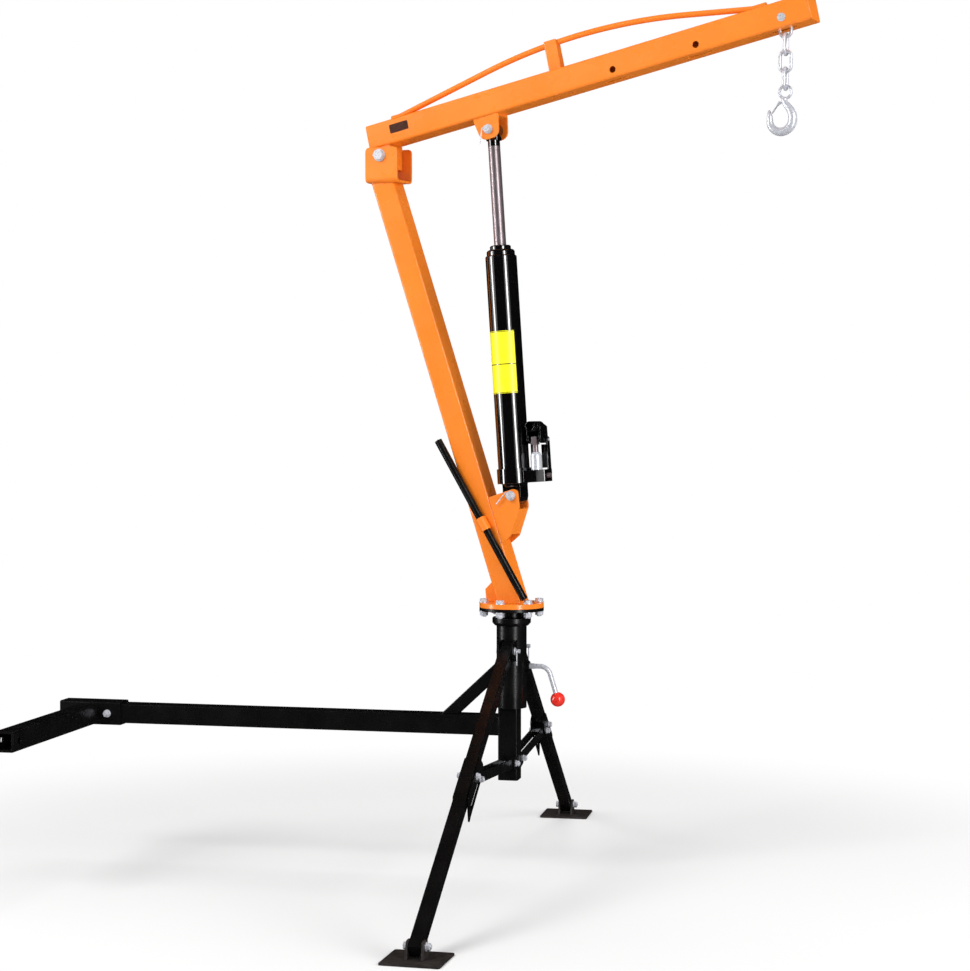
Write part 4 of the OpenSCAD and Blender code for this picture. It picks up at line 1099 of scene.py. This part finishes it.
def studio_world():
    """White to the camera and in reflections, and a plain level of light on the object."""
    world = bpy.data.worlds.new("studio_world")
    bpy.context.scene.world = world
    world.use_nodes = True
    tree = world.node_tree
    tree.nodes.clear()
    rays = add(tree, "ShaderNodeLightPath").outputs
    straight = {0: rays["Is Camera Ray"], 1: rays["Is Transmission Ray"]}
    seen = add(tree, "ShaderNodeMath", straight, operation="MAXIMUM")
    mirrored = add(tree, "ShaderNodeMath", {0: seen, 1: rays["Is Glossy Ray"]}, operation="MAXIMUM")
    white = add(tree, "ShaderNodeMapRange", {"Value": mirrored, "To Min": ROOM_LIGHT, "To Max": 1})
    sky = add(tree, "ShaderNodeBackground", {"Color": linear("#ffffff"), "Strength": white})
    add(tree, "ShaderNodeOutputWorld", {"Surface": sky})


def seen_from(azimuth, elevation):
    """Direction from the object to a viewer; azimuth 0 stands on the -Y side."""
    a = math.radians(azimuth)
    e = math.radians(elevation)
    return Vector((math.sin(a) * math.cos(e), -math.cos(a) * math.cos(e), math.sin(e)))


def dark_flags():
    """Dark walls and roof that only reflections see; the gaps between them show as bright streaks."""
    points = []
    faces = []
    for first, last in FLAG_ARCS:
        steps = math.ceil((last - first) / 6)
        for i in range(steps + 1):
            out = seen_from(first + (last - first) * i / steps, 0) * FLAG_DISTANCE
            foot = Vector((MIDDLE.x + out.x, MIDDLE.y + out.y, GROUND))
            points += [foot, foot + Vector((0, 0, FLAG_HEIGHT))]
            if i:
                n = len(points)
                faces.append((n - 4, n - 2, n - 1, n - 3))
    rim = [seen_from(30 * i, 0) * FLAG_DISTANCE for i in range(12)]
    faces.append(tuple(range(len(points), len(points) + len(rim))))
    points += [Vector((MIDDLE.x + out.x, MIDDLE.y + out.y, GROUND + FLAG_HEIGHT)) for out in rim]
    mesh = bpy.data.meshes.new("dark_flags")
    mesh.from_pydata(points, [], faces)
    flags = bpy.data.objects.new("dark_flags", mesh)
    bpy.context.scene.collection.objects.link(flags)
    material, tree, _ = new_material("flag_cloth")
    cloth = add(tree, "ShaderNodeBsdfDiffuse", {"Color": linear("#0c0c0c")})
    add(tree, "ShaderNodeOutputMaterial", {"Surface": cloth})
    mesh.materials.append(material)
    flags.visible_camera = False
    flags.visible_diffuse = False
    flags.visible_transmission = False
    flags.visible_shadow = False


LAMP_DISTANCE = 5


def softbox(name, azimuth, elevation, wide, tall, power, mirrored=False):
    """A rectangular lamp that faces the middle of the object, and lights it or is only mirrored."""
    back = seen_from(azimuth, elevation)
    lamp = bpy.data.lights.new(name, "AREA")
    lamp.shape = "RECTANGLE"
    lamp.size = wide
    lamp.size_y = tall
    lamp.energy = power
    holder = bpy.data.objects.new(name, lamp)
    holder.location = MIDDLE + back * LAMP_DISTANCE
    holder.rotation_euler = (-back).to_track_quat("-Z", "Y").to_euler()
    holder.visible_glossy = mirrored
    holder.visible_diffuse = not mirrored
    bpy.context.scene.collection.objects.link(holder)


CAMERA_LENS = 81.43
CAMERA_AT = (2.2458, -4.8171, 0.7827)
CAMERA_AZIMUTH = 12.73
CAMERA_ELEVATION = 1.96


def camera():
    """A camera about half way up the mast, 25 degrees from square on to the boom's side."""
    data = bpy.data.cameras.new("camera")
    data.lens = CAMERA_LENS
    data.sensor_width = 36
    holder = bpy.data.objects.new("camera", data)
    holder.location = CAMERA_AT
    back = seen_from(CAMERA_AZIMUTH, CAMERA_ELEVATION)
    holder.rotation_euler = (-back).to_track_quat("-Z", "Y").to_euler()
    bpy.context.scene.collection.objects.link(holder)
    bpy.context.scene.camera = holder


studio_floor()
studio_world()
dark_flags()
softbox("key_softbox", -38, 32, 2.2, 2.6, 170)
softbox("fill_softbox", 75, 15, 3, 3, 155)
softbox("left_strip", -66, 8, 0.85, 4.5, 140, mirrored=True)
softbox("right_strip", 43, 8, 0.8, 4.5, 150, mirrored=True)
softbox("top_softbox", 180, 65, 3, 3, 70)
camera()
bpy.context.scene.view_settings.view_transform = "Standard"
